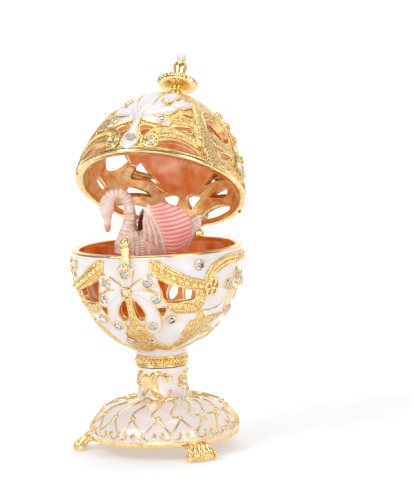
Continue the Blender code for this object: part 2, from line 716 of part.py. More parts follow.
def make_clasp():
    """The clasp: a tab outside the bowl's rim that carries a ball."""
    near = -(RIM_RADIUS + SEAT_GAP)
    top = RIM_Z + CLASP_RISE

    def tab(shape):
        half = CLASP_WIDTH / 2
        block(shape, (-half, near - CLASP_THICKNESS, RIM_Z - CLASP_DROP), (half, near, top))

    def ball(shape):
        knob(shape, (0.0, near - CLASP_BALL_RADIUS, top), CLASP_BALL_RADIUS, 8, 5)

    clasp = bmesh_object("clasp", tab, GOLD)
    boolean(clasp, bmesh_object("clasp_ball", ball, cutter=True), "UNION")


def oval_form(shape, stations, sides):
    """A form skinned through upright ovals: (forward, height, half height, aside, half width) in mm."""
    unit = SWAN_LENGTH / 33.0
    rings = []
    for forward, height, half_height, aside, half_width in stations:
        ring = []
        for index in range(sides):
            angle = 2 * math.pi * index / sides
            ring.append(Vector((
                forward * unit,
                (aside + half_width * math.cos(angle)) * unit,
                (height + half_height * math.sin(angle)) * unit,
            )))
        rings.append(ring)
    loft(shape, rings)


def swan_body(shape):
    """The swan's body from breast to tail."""
    stations = [(12.3, 0.3, 2.0, 0, 2.2), (10.5, 0.0, 4.2, 0, 4.2), (6, -0.8, 5.0, 0, 6.0), (0, -1.0, 5.0, 0, 6.6)]
    stations += [(-6, -0.5, 4.6, 0, 5.8), (-11, 1.5, 3.8, 0, 4.4), (-15, 6.0, 2.0, 0, 2.8)]
    oval_form(shape, stations, 8)


def swan_wings(shape):
    """The swan's raised wings, one on each side."""
    for side in (-1, 1):
        stations = [(5.5, 2.0, 3.0), (3.8, 6.0, 6.8), (0, 7.2, 7.0), (-4, 6.6, 7.0), (-8, 5.2, 5.6)]
        stations += [(-12, 5.2, 3.4), (-15.5, 7.4, 1.0)]
        oval_form(shape, [(x, z, tall, side * 5.0, 2.4) for x, z, tall in stations], 6)


def swan_neck(shape):
    """The swan's neck and head, as a row of round sections along its bend."""
    unit = SWAN_LENGTH / 33.0
    path = [(8.5, -0.5, 4.2), (7.8, 4, 3.0), (7.5, 8, 2.3), (8.0, 12, 2.1), (9.0, 15, 2.0), (11.3, 17.1, 2.0)]
    path += [(14.0, 16.6, 2.0), (15.8, 14.2, 2.1), (16.4, 11.2, 2.3), (16.0, 8.4, 1.6), (15.7, 6.2, 0.9)]
    path += [(15.6, 4.3, 0.5)]
    rings = []
    for index, (forward, height, radius) in enumerate(path):
        before = path[max(index - 1, 0)]
        after = path[min(index + 1, len(path) - 1)]
        along = Vector((after[0] - before[0], 0.0, after[1] - before[1])).normalized()
        across = Vector((0.0, 1.0, 0.0))
        inward = along.cross(across)
        centre = Vector((forward, 0.0, height))
        ring = []
        for corner in range(7):
            angle = 2 * math.pi * corner / 7
            point = centre + across * math.cos(angle) * radius + inward * math.sin(angle) * radius
            ring.append(point * unit)
        rings.append(ring)
    loft(shape, rings)


def make_swan():
    """The swan, body, wings and neck cast as one."""
    place = Matrix.Translation((0.0, 0.0, RIM_Z + SWAN_RISE)) @ Matrix.Rotation(SWAN_YAW, 4, "Z")
    swan = bmesh_object("swan", swan_body, PINK)
    swan.matrix_world = place
    for fill in (swan_wings, swan_neck):
        other = bmesh_object(fill.__name__, fill, cutter=True)
        other.matrix_world = place
        boolean(swan, other, "UNION")


def make_crystal(name, wall, azimuth, share, radius, lift, hinge=None):
    """A faceted stone that sits just above a wall or its relief."""
    point, normal, sideways = wall_frame(wall, azimuth, share)
    upward = normal.cross(sideways)
    frame = Matrix((sideways, upward, normal)).transposed().to_4x4()
    frame.translation = point + normal * (lift + CRYSTAL_GAP + CRYSTAL_HEIGHT / 2)

    def stone(shape):
        bmesh.ops.create_cone(
            shape, cap_ends=True, segments=6, radius1=radius, radius2=0.55 * radius,
            depth=CRYSTAL_HEIGHT, matrix=frame,
        )

    crystal = bmesh_object(name, stone, CRYSTAL)
    if hinge is not None:
        on_lid(crystal, hinge)


def crystal_row(prefix, wall, middle, places, lift, hinge=None):
    """Crystals at places on both sides of a bow's middle."""
    number = 0
    for place in places:
        for side in both_sides([place]):
            number += 1
            azimuth, share = side[0]
            make_crystal(f"{prefix}_{number}", wall, middle + azimuth, share, CRYSTAL_RADIUS, lift, hinge)


def make_crystals(hinge):
    """The larger stones of the bows and rims."""
    for label, middle in BOWL_BOWS.items():
        crystal_row(f"crystal_bowl_{label}", bowl_wall, middle, BOWL_CRYSTALS, RELIEF)
        crystal_row(f"crystal_low_{label}", bowl_wall, middle, BOWL_LOW_CRYSTALS, 0.0)
        crystal_row(f"crystal_rim_{label}", bowl_wall, middle, BOWL_RIM_CRYSTALS, 0.0)
        make_crystal(f"crystal_bow_{label}", bowl_wall, middle, BOW_SHARE, BIG_CRYSTAL_RADIUS, KNOB_RADIUS)
    for label, middle in LID_BOWS.items():
        crystal_row(f"crystal_lid_{label}", lid_wall, middle, LID_CRYSTALS, RELIEF, hinge)
        make_crystal(f"crystal_drop_{label}", lid_wall, middle, DROP_SHARE, BIG_CRYSTAL_RADIUS, RELIEF, hinge)


def hang_on_axis():
    """Hang every loose object, cutters too, on an empty on the egg's axis."""
    axis = bpy.data.objects.new("egg_axis", None)
    axis.location = EGG_AXIS
    for group in (BOX, CUTTERS):
        for item in group.objects:
            if item.parent is None:
                item.parent = axis
    BOX.objects.link(axis)


def make_box():
    """The whole box, with the lid held open on its hinge."""
    hinge = bpy.data.objects.new("lid_hinge_axis", None)
    BOX.objects.link(hinge)
    hinge.location = HINGE
    hinge.rotation_euler = (-OPEN_ANGLE, 0.0, 0.0)
    make_pedestal()
    make_bowl()
    make_lid(hinge)
    make_finial(hinge)
    make_pearl(hinge)
    make_hinge(hinge)
    make_clasp()
    make_swan()
    make_crystals(hinge)
    hang_on_axis()


make_box()
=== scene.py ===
"""Looks of the jewelled egg trinket box: enamel, gilt wires, granulation, stones and the swan.

Every piece is modelled about the egg's own axis in metres, with the lid closed, and is then moved
into the row frame, the lid's pieces also turned open about the hinge.
"""
import math

import bmesh
import bpy
from mathutils import Matrix, Vector


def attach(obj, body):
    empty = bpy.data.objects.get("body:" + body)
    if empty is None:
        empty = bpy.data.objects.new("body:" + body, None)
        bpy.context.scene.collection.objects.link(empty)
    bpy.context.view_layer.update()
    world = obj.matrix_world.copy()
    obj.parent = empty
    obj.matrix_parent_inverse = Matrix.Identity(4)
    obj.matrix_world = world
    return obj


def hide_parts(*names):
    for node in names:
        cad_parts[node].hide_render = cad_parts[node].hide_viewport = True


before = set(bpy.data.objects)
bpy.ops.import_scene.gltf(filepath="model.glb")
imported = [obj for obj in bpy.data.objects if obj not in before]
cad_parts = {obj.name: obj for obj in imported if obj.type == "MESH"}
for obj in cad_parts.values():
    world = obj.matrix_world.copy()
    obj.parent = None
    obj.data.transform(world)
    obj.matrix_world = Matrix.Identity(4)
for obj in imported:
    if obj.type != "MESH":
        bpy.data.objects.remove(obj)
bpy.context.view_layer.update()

MM = 0.001
EGG_AXIS = Vector((0.905 * MM, -1.921 * MM, 0.0))

# Sizes shared with the solids
RIM_RADIUS = 27.5 * MM
RIM_BAND = 1.5 * MM
WALL = 2.0 * MM
RIM_INNER_RADIUS = RIM_RADIUS - 2.5 * MM
BOWL_HEIGHT = 33.0 * MM
LID_HEIGHT = 33.8 * MM
FLOOR_THICKNESS = 2.6 * MM
COLLAR_WAIST = 8.0 * MM
COLLAR_HEIGHT = 5.4 * MM
STEM_RADIUS = 7.7 * MM
STEM_HEIGHT = 9.2 * MM
DOME_HEIGHT = 13.5 * MM
BASE_RADIUS = 24.1 * MM
BASE_WALL = 1.8 * MM
BASE_LIFT = 4.17 * MM
SEAT_GAP = 0.3 * MM
OPEN_ANGLE = math.radians(32.3)
BOWL_BOWS = {"front": -1.5, "back": 181.5}
LID_BOWS = {"front": -3.0, "back": 183.0}
SWAN_YAW = math.radians(200.4)
COLLAR_BOTTOM = BASE_LIFT + DOME_HEIGHT + STEM_HEIGHT + SEAT_GAP
BOWL_BOTTOM = COLLAR_BOTTOM + COLLAR_HEIGHT
COLLAR_TOP = BOWL_BOTTOM - 1.8 * MM
RIM_Z = BOWL_BOTTOM + BOWL_HEIGHT
LID_BOTTOM = RIM_Z + SEAT_GAP
WALL_RADIUS = RIM_RADIUS - 0.3 * MM
HINGE = Vector((0.0, RIM_RADIUS + 3.47 * MM, RIM_Z + 0.22 * MM))

TO_BOX = Matrix.Translation(EGG_AXIS)
TO_LID = TO_BOX @ Matrix.Translation(HINGE) @ Matrix.Rotation(-OPEN_ANGLE, 4, "X")
TO_LID = TO_LID @ Matrix.Translation(-HINGE)
PLACES = {"box": TO_BOX, "lid": TO_LID}


# Materials

def new_material(name, colour, roughness, metallic=0.0):
    """A Principled material and its shader node."""
    finish = bpy.data.materials.new(name)
    finish.use_nodes = True
    shader = finish.node_tree.nodes["Principled BSDF"]
    shader.inputs["Base Color"].default_value = (*colour, 1.0)
    shader.inputs["Roughness"].default_value = roughness
    shader.inputs["Metallic"].default_value = metallic
    finish.diffuse_color = (*colour, 1.0)
    return finish, shader


def node(finish, kind, **values):
    """A node with its input values set."""
    item = finish.node_tree.nodes.new(kind)
    for key, value in values.items():
        item.inputs[key].default_value = value
    return item


def link(finish, out, into):
    finish.node_tree.links.new(out, into)


def object_coords(finish):
    """Coordinates in metres that stay with the object."""
    return finish.node_tree.nodes.new("ShaderNodeTexCoord").outputs["Object"]


def noise_map(finish, coords, scale, detail=3.0):
    """Values of a noise texture at a scale in features per metre."""
    item = node(finish, "ShaderNodeTexNoise", Scale=scale, Detail=detail)
    link(finish, coords, item.inputs["Vector"])
    return item.outputs["Fac"]


def ramp(finish, value, stops):
    """Colours spread over a value."""
    item = finish.node_tree.nodes.new("ShaderNodeValToRGB")
    elements = item.color_ramp.elements
    while len(elements) < len(stops):
        elements.new(0.5)
    for element, (place, colour) in zip(elements, stops):
        element.position = place
        element.color = (*colour, 1.0)
    link(finish, value, item.inputs["Fac"])
    return item.outputs["Color"]


def bump(finish, shader, height, strength, distance, under=None):
    """Bump a shader by a height; a second bump goes under the first."""
    item = node(finish, "ShaderNodeBump", Strength=strength, Distance=distance)
    link(finish, height, item.inputs["Height"])
    if under is not None:
        link(finish, under, item.inputs["Normal"])
    link(finish, item.outputs["Normal"], shader.inputs["Normal"])
    return item.outputs["Normal"]


def polished_gold():
    finish, shader = new_material("gilt_polished", (0.95, 0.66, 0.26), 0.16, 1.0)
    coords = object_coords(finish)
    stops = [(0.35, (0.88, 0.59, 0.24)), (0.65, (0.99, 0.80, 0.43))]
    link(finish, ramp(finish, noise_map(finish, coords, 420.0), stops), shader.inputs["Base Color"])
    rough = ramp(finish, noise_map(finish, coords, 900.0), [(0.3, (0.12,) * 3), (0.7, (0.26,) * 3)])
    link(finish, rough, shader.inputs["Roughness"])
    bump(finish, shader, noise_map(finish, coords, 1300.0), 0.25, 0.00008)
    return finish


def granulated_gold():
    finish, shader = new_material("gilt_granulated_painted_shade", (0.93, 0.62, 0.22), 0.26, 1.0)
    coords = object_coords(finish)
    cells = node(finish, "ShaderNodeTexVoronoi", Scale=1750.0, Randomness=0.8)
    link(finish, coords, cells.inputs["Vector"])
    # Each grain is lighter at its middle and darker towards the gaps between grains: painted highlight
    # and painted shade.
    stops = [(0.0, (1.0, 0.84, 0.48)), (0.35, (0.96, 0.72, 0.33)), (0.75, (0.64, 0.38, 0.12))]
    link(finish, ramp(finish, cells.outputs["Distance"], stops), shader.inputs["Base Color"])
    turned = finish.node_tree.nodes.new("ShaderNodeMath")
    turned.operation = "SUBTRACT"
    turned.inputs[0].default_value = 1.0
    link(finish, cells.outputs["Distance"], turned.inputs[1])
    bump(finish, shader, turned.outputs[0], 0.85, 0.00022)
    return finish


def enamel(name, low, high, scale=160.0, rough=0.16):
    """Pearly enamel with faint clouds and a glassy coat."""
    finish, shader = new_material(name, high, rough)
    shader.inputs["Coat Weight"].default_value = 0.6
    shader.inputs["Coat Roughness"].default_value = 0.06
    coords = object_coords(finish)
    link(finish, ramp(finish, noise_map(finish, coords, scale), [(0.35, low), (0.68, high)]),
        shader.inputs["Base Color"])
    bump(finish, shader, noise_map(finish, coords, 260.0, 1.0), 0.12, 0.00025)
    return finish


def orange_enamel():
    finish, shader = new_material("orange_enamel", (0.72, 0.14, 0.03), 0.28)
    shader.inputs["Coat Weight"].default_value = 0.5
    shader.inputs["Coat Roughness"].default_value = 0.1
    coords = object_coords(finish)
    stops = [(0.40, (0.90, 0.25, 0.04)), (0.50, (0.97, 0.37, 0.09)), (0.62, (1.0, 0.52, 0.26))]
    link(finish, ramp(finish, noise_map(finish, coords, 190.0, 6.0), stops),
        shader.inputs["Base Color"])
    bump(finish, shader, noise_map(finish, coords, 900.0), 0.25, 0.0001)
    return finish


def amber_gold():
    """Gilt under thin orange enamel, for the backs of the struts."""
    finish, shader = new_material("amber_gilt", (0.95, 0.55, 0.20), 0.26, 0.6)
    coords = object_coords(finish)
    stops = [(0.36, (0.90, 0.36, 0.13)), (0.45, (0.98, 0.62, 0.28)), (0.58, (1.0, 0.82, 0.48))]
    link(finish, ramp(finish, noise_map(finish, coords, 330.0), stops), shader.inputs["Base Color"])
    bump(finish, shader, noise_map(finish, coords, 900.0), 0.6, 0.0003)
    return finish


def crystal_glass():
    finish, shader = new_material("crystal_clear", (0.97, 0.98, 1.0), 0.0)
    shader.inputs["Transmission Weight"].default_value = 1.0
    shader.inputs["IOR"].default_value = 1.58
    return finish


def foil():
    """Foil behind a stone, with painted glints: bright and dark cells stand in for the facets'
    reflections.
    """
    finish, shader = new_material("stone_foil_painted_glints", (0.86, 0.87, 0.90), 0.12, 0.15)
    cells = node(finish, "ShaderNodeTexVoronoi", Scale=1250.0, Randomness=1.0)
    link(finish, object_coords(finish), cells.inputs["Vector"])
    split = finish.node_tree.nodes.new("ShaderNodeSeparateColor")
    link(finish, cells.outputs["Color"], split.inputs[0])
    stops = [(0.25, (0.03, 0.03, 0.04)), (0.31, (0.70, 0.72, 0.76)), (0.6, (1.0, 1.0, 1.0))]
    link(finish, ramp(finish, split.outputs[0], stops), shader.inputs["Base Color"])
    return finish


def pearl():
    finish, shader = new_material("pearl_lustre", (0.94, 0.91, 0.88), 0.18)
    shader.inputs["Coat Weight"].default_value = 0.8
    shader.inputs["Coat Roughness"].default_value = 0.1
    coords = object_coords(finish)
    stops = [(0.3, (0.72, 0.69, 0.67)), (0.7, (0.84, 0.81, 0.79))]
    link(finish, ramp(finish, noise_map(finish, coords, 300.0), stops), shader.inputs["Base Color"])
    return finish


def swan_paint(name, stops, scale, bump_scale):
    finish, shader = new_material(name, stops[-1][1], 0.34)
    shader.inputs["Coat Weight"].default_value = 0.35
    shader.inputs["Coat Roughness"].default_value = 0.15
    coords = object_coords(finish)
    link(finish, ramp(finish, noise_map(finish, coords, scale), stops), shader.inputs["Base Color"])
    bump(finish, shader, noise_map(finish, coords, bump_scale), 0.4, 0.00025)
    return finish


GOLD = polished_gold()
GRAIN = granulated_gold()
ENAMEL = enamel("white_enamel_pearly", (0.78, 0.70, 0.69), (0.85, 0.83, 0.84))
BASE_ENAMEL = enamel("base_enamel_pearly", (0.87, 0.76, 0.73), (0.91, 0.84, 0.82))
ORANGE = orange_enamel()
AMBER = amber_gold()
CRYSTAL = crystal_glass()
FOIL_GLINTS = foil()
PEARL = pearl()
SWAN_PALE = swan_paint("swan_pale", [(0.35, (0.80, 0.57, 0.48)), (0.6, (0.93, 0.78, 0.69))], 480.0,
    1200.0)
# Painted shade: a darker pink-brown that stands in for the shade between the scale feathers, in the
# neck's grooves and on the wings' front parts.
SWAN_PAINTED_SHADE = swan_paint("swan_painted_shade", [(0.35, (0.66, 0.38, 0.30)), (0.65, (0.80, 0.54, 0.45))], 480.0,
    1200.0)
SWAN_CORAL = swan_paint("swan_coral", [(0.3, (0.98, 0.42, 0.38)), (0.7, (1.0, 0.66, 0.60))], 130.0,
    1500.0)
# Painted shade: deeper coral for the valleys between the wing's flutes and along the wing's lowest
# edge.
SWAN_FLUTE_SHADE = swan_paint("swan_coral_flute_shade", [(0.35, (0.84, 0.17, 0.19)), (0.65, (0.92, 0.30, 0.31))],
    200.0, 1500.0)
# Painted shadow: near-black brown on the wings' inner sides.
SWAN_PAINTED_SHADOW = swan_paint("swan_painted_shadow", [(0.3, (0.20, 0.06, 0.04)), (0.7, (0.34, 0.12, 0.08))], 400.0,
    1500.0)
SWAN_BEAK = swan_paint("swan_beak", [(0.3, (0.72, 0.36, 0.22)), (0.7, (0.86, 0.54, 0.38))], 600.0,
    1500.0)


# Walls of the egg

# The bowl's wall is upright over the first share and round over the rest
BOWL_UPRIGHT = 0.11
BOWL_ROUND = 0.89
BOWL_FALL = 0.948
BOWL_TAPER = 0.045
LID_TAPER = 0.08
STEM_WAIST = 0.3 * MM
STEM_TOP_BAND = 1.6 * MM


def bowl_wall(share):
    fall = max(0.0, share - BOWL_UPRIGHT) / BOWL_ROUND * BOWL_FALL
    radius = WALL_RADIUS * math.sqrt(max(0.0, 1.0 - fall * fall)) * (1.0 - BOWL_TAPER * fall)
    return radius, RIM_Z - share * BOWL_HEIGHT


def lid_wall(share):
    radius = WALL_RADIUS * math.sqrt(max(0.0, 1.0 - share * share)) * (1.0 - LID_TAPER * share)
    return radius, LID_BOTTOM + share * LID_HEIGHT


BASE_SHARES = [(0.03, 1.0), (0.09, 0.93), (0.32, 0.88), (0.60, 0.78), (0.80, 0.59), (0.95, 0.36),
    (1.0, 0.14)]


def base_wall(share):
    """The domed base's top: share 0 at the stem, 1 at the edge."""
    flare = BASE_RADIUS - STEM_RADIUS
    places = [(STEM_RADIUS + flare * out, BASE_LIFT + DOME_HEIGHT * up) for out, up in BASE_SHARES]
    reach = share * (len(places) - 1)
    index = min(max(int(reach), 0), len(places) - 2)
    part = reach - index
    before = places[max(index - 1, 0)]
    after = places[min(index + 2, len(places) - 1)]
    low, high = places[index], places[index + 1]
    return tuple(spline_value(before[k], low[k], high[k], after[k], part) for k in (0, 1))


def spline_value(before, low, high, after, part):
    """Catmull-Rom value between low and high."""
    return 0.5 * (2 * low + (high - before) * part
        + (2 * before - 5 * low + 4 * high - after) * part ** 2
                  + (3 * low - before - 3 * high + after) * part ** 3)


def stem_wall(share):
    """The stem: share 0 at its top, 1 at its foot."""
    waist = 4.0 * share * (1.0 - share)
    top = COLLAR_BOTTOM - SEAT_GAP - STEM_TOP_BAND
    return STEM_RADIUS - STEM_WAIST * waist, top - share * (STEM_HEIGHT - STEM_TOP_BAND)


def frame_at(wall, azimuth, share):
    """Point, outward normal and sideways direction at a place on a wall."""
    step = 0.003
    radius, height = wall(share)
    radius_a, height_a = wall(share - step)
    radius_b, height_b = wall(share + step)
    run, rise = radius_b - radius_a, height_b - height_a
    turn = math.radians(azimuth)
    outward = Vector((math.sin(turn), -math.cos(turn), 0.0))
    sideways = Vector((math.cos(turn), math.sin(turn), 0.0))
    point = outward * radius + Vector((0.0, 0.0, height))
    normal = outward * rise - Vector((0.0, 0.0, run))
    if normal.dot(outward) < 0.0 or (abs(rise) < 1e-9 and normal.z < 0.0):
        normal = -normal
    return point, normal.normalized(), sideways


def smooth_path(places, closed=False, density=6):
    """Places joined by a smooth curve."""
    count = len(places)
    result = []
    last = count if closed else count - 1
    for index in range(last):
        if closed:
            four = [places[(index + k) % count] for k in (-1, 0, 1, 2)]
        else:
            four = [places[min(max(index + k, 0), count - 1)] for k in (-1, 0, 1, 2)]
        for step in range(density):
            part = step / density
            result.append(tuple(spline_value(*(p[k] for p in four), part)
                for k in range(len(places[0]))))
    if not closed:
        result.append(tuple(places[-1]))
    return result


# Pieces

class Shape:
    """A mesh under construction, in metres about the egg's axis."""

    def __init__(self, name, body, slot, finishes, smooth=True, hides=()):
        self.name, self.body, self.slot, self.finishes = name, body, slot, finishes
        self.smooth, self.hides = smooth, hides
        self.points, self.faces, self.kinds = [], [], []

    def add(self, points, faces, kind=0):
        start = len(self.points)
        self.points.extend(points)
        self.faces.extend(tuple(start + index for index in face) for face in faces)
        self.kinds.extend([kind] * len(faces))

    def loft(self, rings, kind=0, closed=False, caps=True):
        """Skin rings of equal length; closed joins the last to the first."""
        count = len(rings[0])
        points = [point for ring in rings for point in ring]
        faces = []
        last = len(rings) if closed else len(rings) - 1
        for row in range(last):
            low, high = row * count, (row + 1) % len(rings) * count
            for index in range(count):
                after = (index + 1) % count
                faces.append((low + index, low + after, high + after, high + index))
        if caps and not closed:
            faces.append(tuple(range(count))[::-1])
            faces.append(tuple(range((len(rings) - 1) * count, len(rings) * count)))
        self.add(points, faces, kind)

    def done(self, sharp=None):
        mesh = bpy.data.meshes.new(self.name)
        mesh.from_pydata([tuple(point) for point in self.points], [], self.faces)
        for finish in self.finishes:
            mesh.materials.append(finish)
        mesh.polygons.foreach_set("material_index", self.kinds)
        shape = bmesh.new()
        shape.from_mesh(mesh)
        bmesh.ops.recalc_face_normals(shape, faces=shape.faces)
        shape.to_mesh(mesh)
        shape.free()
        mesh.transform(PLACES[self.body])
        return publish(self.name, mesh, self.body, self.smooth, self.hides, sharp)


def publish(name, mesh, body, smooth=True, hides=(), sharp=None):
    """Put a finished mesh into the scene as a piece of the part."""
    item = bpy.data.objects.new(name, mesh)
    bpy.context.scene.collection.objects.link(item)
    if smooth:
        mesh.shade_smooth()
        if sharp is not None:
            mesh.set_sharp_from_angle(angle=math.radians(sharp))
    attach(item, body)
    if hides:
        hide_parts(*hides)
    return item


def tube(shape, points, normals, radius, sides=8, closed=False, kind=0, flat=1.0):
    """A round wire through points; radius may change along it."""
    rings = []
    count = len(points)
    for index, (point, normal) in enumerate(zip(points, normals)):
        if closed:
            along = points[(index + 1) % count] - points[index - 1]
        else:
            along = points[min(index + 1, count - 1)] - points[max(index - 1, 0)]
        along.normalize()
        across = normal.cross(along).normalized()
        lift = along.cross(across)
        size = radius(index / max(count - 1, 1)) if callable(radius) else radius
        ring = []
        for corner in range(sides):
            angle = 2 * math.pi * corner / sides
            ring.append(point + across * math.cos(angle) * size + lift * math.sin(angle) * size * flat)
        rings.append(ring)
    shape.loft(rings, kind, closed)


def wire(shape, wall, places, radius, lift=0.0, closed=False, density=6, kind=0, sides=7, flat=1.0):
    """A wire along a wall through (azimuth, share) places."""
    path = smooth_path(places, closed, density)
    frames = [frame_at(wall, azimuth, share) for azimuth, share in path]
    points = [point + normal * lift for point, normal, _ in frames]
    tube(shape, points, [normal for _, normal, _ in frames], radius, sides, closed, kind, flat)


def hoop(shape, wall, share, radius):
    """A wire right round a wall."""
    frames = [frame_at(wall, 360.0 * step / 144, share) for step in range(144)]
    tube(shape, [point for point, _, _ in frames], [normal for _, normal, _ in frames], radius, 7, True)


def ridge(shape, wall, places, height, kind=0, density=6, points=9, sink=0.5 * MM, power=2.0,
        edge=None):
    """A domed band on a wall through (azimuth, share, half width in mm) places.
    With edge, the wire radius, it also runs a gilt wire round the band's edge."""
    path = smooth_path(places, False, density)
    frames = [frame_at(wall, azimuth, share) for azimuth, share, _ in path]
    rings = []
    sides = ([], [])
    widest = max(width for _, _, width in path)
    for index, (point, normal, _) in enumerate(frames):
        before = frames[max(index - 1, 0)][0]
        after = frames[min(index + 1, len(frames) - 1)][0]
        along = (after - before).normalized()
        across = normal.cross(along).normalized()
        half = max(path[index][2], 0.05) * MM
        tall = height * min(1.0, (path[index][2] / widest) ** 0.5 + 0.15)
        ring = [point - normal * sink - across * half, point - normal * sink + across * half]
        for step in range(points):
            share = 1.0 - 2.0 * step / (points - 1)
            rise = tall * max(0.0, 1.0 - abs(share) ** power) ** (1.0 / power)
            ring.append(point + across * half * share + normal * rise)
        rings.append(ring)
        sides[0].append((point + across * half, normal))
        sides[1].append((point - across * half, normal))
    shape.loft(rings, kind)
    if edge:
        outline = sides[0] + sides[1][::-1]
        pts = [place + normal * edge * 0.4 for place, normal in outline]
        tube(shape, pts, [normal for _, normal in outline], edge, 6, True, edge_kind(shape))


def edge_kind(shape):
    """Index of the polished gold among a shape's finishes."""
    return shape.finishes.index(GOLD)


def bead(shape, centre, radius, kind=0, columns=10, rows=6, axis=None, squash=1.0):
    """A round or flattened bead."""
    axis = axis or Vector((0.0, 0.0, 1.0))
    side = axis.orthogonal().normalized()
    other = axis.cross(side)
    points = [centre + axis * radius * squash]
    for row in range(1, rows):
        tilt = math.pi * row / rows
        for column in range(columns):
            angle = 2 * math.pi * column / columns
            flat = (side * math.cos(angle) + other * math.sin(angle)) * math.sin(tilt)
            points.append(centre + flat * radius + axis * math.cos(tilt) * radius * squash)
    points.append(centre - axis * radius * squash)
    faces = []
    for column in range(columns):
        after = (column + 1) % columns
        faces.append((0, 1 + column, 1 + after))
        for row in range(rows - 2):
            low, high = 1 + row * columns, 1 + (row + 1) * columns
            faces.append((low + column, high + column, high + after, low + after))
        low = 1 + (rows - 2) * columns
        faces.append((low + column, len(points) - 1, low + after))
    shape.add(points, faces, kind)


def wall_bead(shape, wall, azimuth, share, radius, lift=0.0, kind=0, squash=1.0):
    point, normal, _ = frame_at(wall, azimuth, share)
    bead(shape, point + normal * lift, radius, kind, axis=normal, squash=squash)


def turned(profile, segments):
    """Rings of a turned body about Z from (radius, height) points."""
    rings = []
    for radius, height in profile:
        ring = []
        for index in range(segments):
            angle = 2 * math.pi * index / segments
            ring.append(Vector((radius * math.sin(angle), -radius * math.cos(angle), height)))
        rings.append(ring)
    return rings


def stone(shape, wall, azimuth, share, radius, lift, gold):
    """A round brilliant in a gilt cup; shape takes glass 0 and foil 1 (painted glints), gold takes the
    cup.
    """
    point, normal, sideways = frame_at(wall, azimuth, share)
    put_stone(shape, gold, point + normal * lift, normal, sideways, radius)


def put_stone(shape, gold, place, normal, sideways, radius):
    other = normal.cross(sideways)

    def ring(size, height, count, turn):
        result = []
        for index in range(count):
            angle = 2 * math.pi * (index + turn) / count
            flat = (sideways * math.cos(angle) + other * math.sin(angle)) * size * radius
            result.append(place + flat + normal * height * radius)
        return result

    girdle = ring(1.0, 0.25, 16, 0.0)
    crown = ring(0.80, 0.48, 8, 0.5)
    table = ring(0.52, 0.62, 8, 0.0)
    pavilion = ring(0.62, 0.0, 8, 0.0)
    points = girdle + crown + table + pavilion
    faces = []
    for index in range(8):
        after = (index + 1) % 8
        g, c, t, p = 2 * index, 16 + index, 24 + index, 32 + index
        faces.append((g, (g + 1) % 16, c))
        faces.append(((g + 1) % 16, (g + 2) % 16, c))
        faces.append((c, (g + 2) % 16, 24 + after))
        faces.append((c, 24 + after, t))
        faces.append((c, t, g))
        faces.append(((g + 1) % 16, g, p))
        faces.append(((g + 2) % 16, (g + 1) % 16, p))
        faces.append(((g + 2) % 16, p, 32 + after))
    faces.append(tuple(24 + index for index in range(8)))
    faces.append(tuple(32 + index for index in range(8))[::-1])
    shape.add(points, faces, 0)
    cone = ring(1.0, 0.16, 8, 0.0) + ring(0.55, -0.16, 8, 0.5) + [place - normal * 0.30 * radius]
    back = []
    for index in range(8):
        after = (index + 1) % 8
        back.append((index, after, 8 + index))
        back.append((after, 8 + after, 8 + index))
        back.append((8 + index, 8 + after, 16))
    # The foil cone behind the glass, its bright and dark cells painted glints.
    shape.add(cone, back, 1)
    cup = [place + (sideways * math.cos(a) + other * math.sin(a)) * radius * 1.12
        + normal * radius * 0.18
           for a in (2 * math.pi * index / 24 for index in range(24))]
    tube(gold, cup, [normal] * 24, radius * 0.17, 6, True, edge_kind(gold))
    foot = ring(1.16, 0.12, 24, 0.0)
    deep = ring(1.05, -0.9, 24, 0.0)
    gold.loft([deep, foot], edge_kind(gold), caps=False)


# Openwork shells

BOWL_SIDE_OPENING = [
    (21, 0.225), (31, 0.29), (46, 0.335), (48.5, 0.40),
    (47, 0.455), (38, 0.468), (30, 0.47), (25.5, 0.445), (23.5, 0.34)
]
BOWL_LOBE_OPENING = [(19, 0.515), (27, 0.51), (25, 0.59), (21.5, 0.57)]
BOWL_SLOT_OPENING = [
    (2.4, 0.43), (5.5, 0.44), (9, 0.50), (11.3, 0.57), (10.6, 0.63), (6.8, 0.645), (3.4, 0.61),
    (2.3, 0.52)
]
LID_DROP_OPENING = [(3.5, 0.30), (8.5, 0.32), (15, 0.29), (11.5, 0.23), (7.8, 0.175), (4.6, 0.225)]
LID_CRESCENT = [(18.5, 0.06), (19, 0.13), (30, 0.172), (41.5, 0.145), (49, 0.07), (34.5, 0.052)]
LID_SLANT_OPENING = [(53, 0.525), (64.5, 0.578), (73.5, 0.53), (80, 0.465), (73, 0.355), (63, 0.37),
    (57, 0.43)]
LID_LOW_OPENING = [(63, 0.205), (77, 0.25), (78.5, 0.20), (69, 0.15)]
LID_FRONT_OPENINGS = [
    [(26, 0.318), (33, 0.345), (40.5, 0.36), (41.5, 0.29), (32.5, 0.29)],
    [(31.5, 0.51), (42.5, 0.52), (42.5, 0.472), (37, 0.469)],
]
LID_BACK_OPENINGS = [
    [(25, 0.27), (31, 0.315), (45, 0.31), (44, 0.22), (34, 0.24)],
    [(21, 0.40), (33, 0.50), (42, 0.55), (46, 0.39), (33, 0.41)],
]


def mirrored(places):
    """Places and their mirror image about the bow's middle."""
    return [places, [(-place[0], *place[1:]) for place in places]]


def around(places, middle):
    return [(middle + place[0], *place[1:]) for place in places]


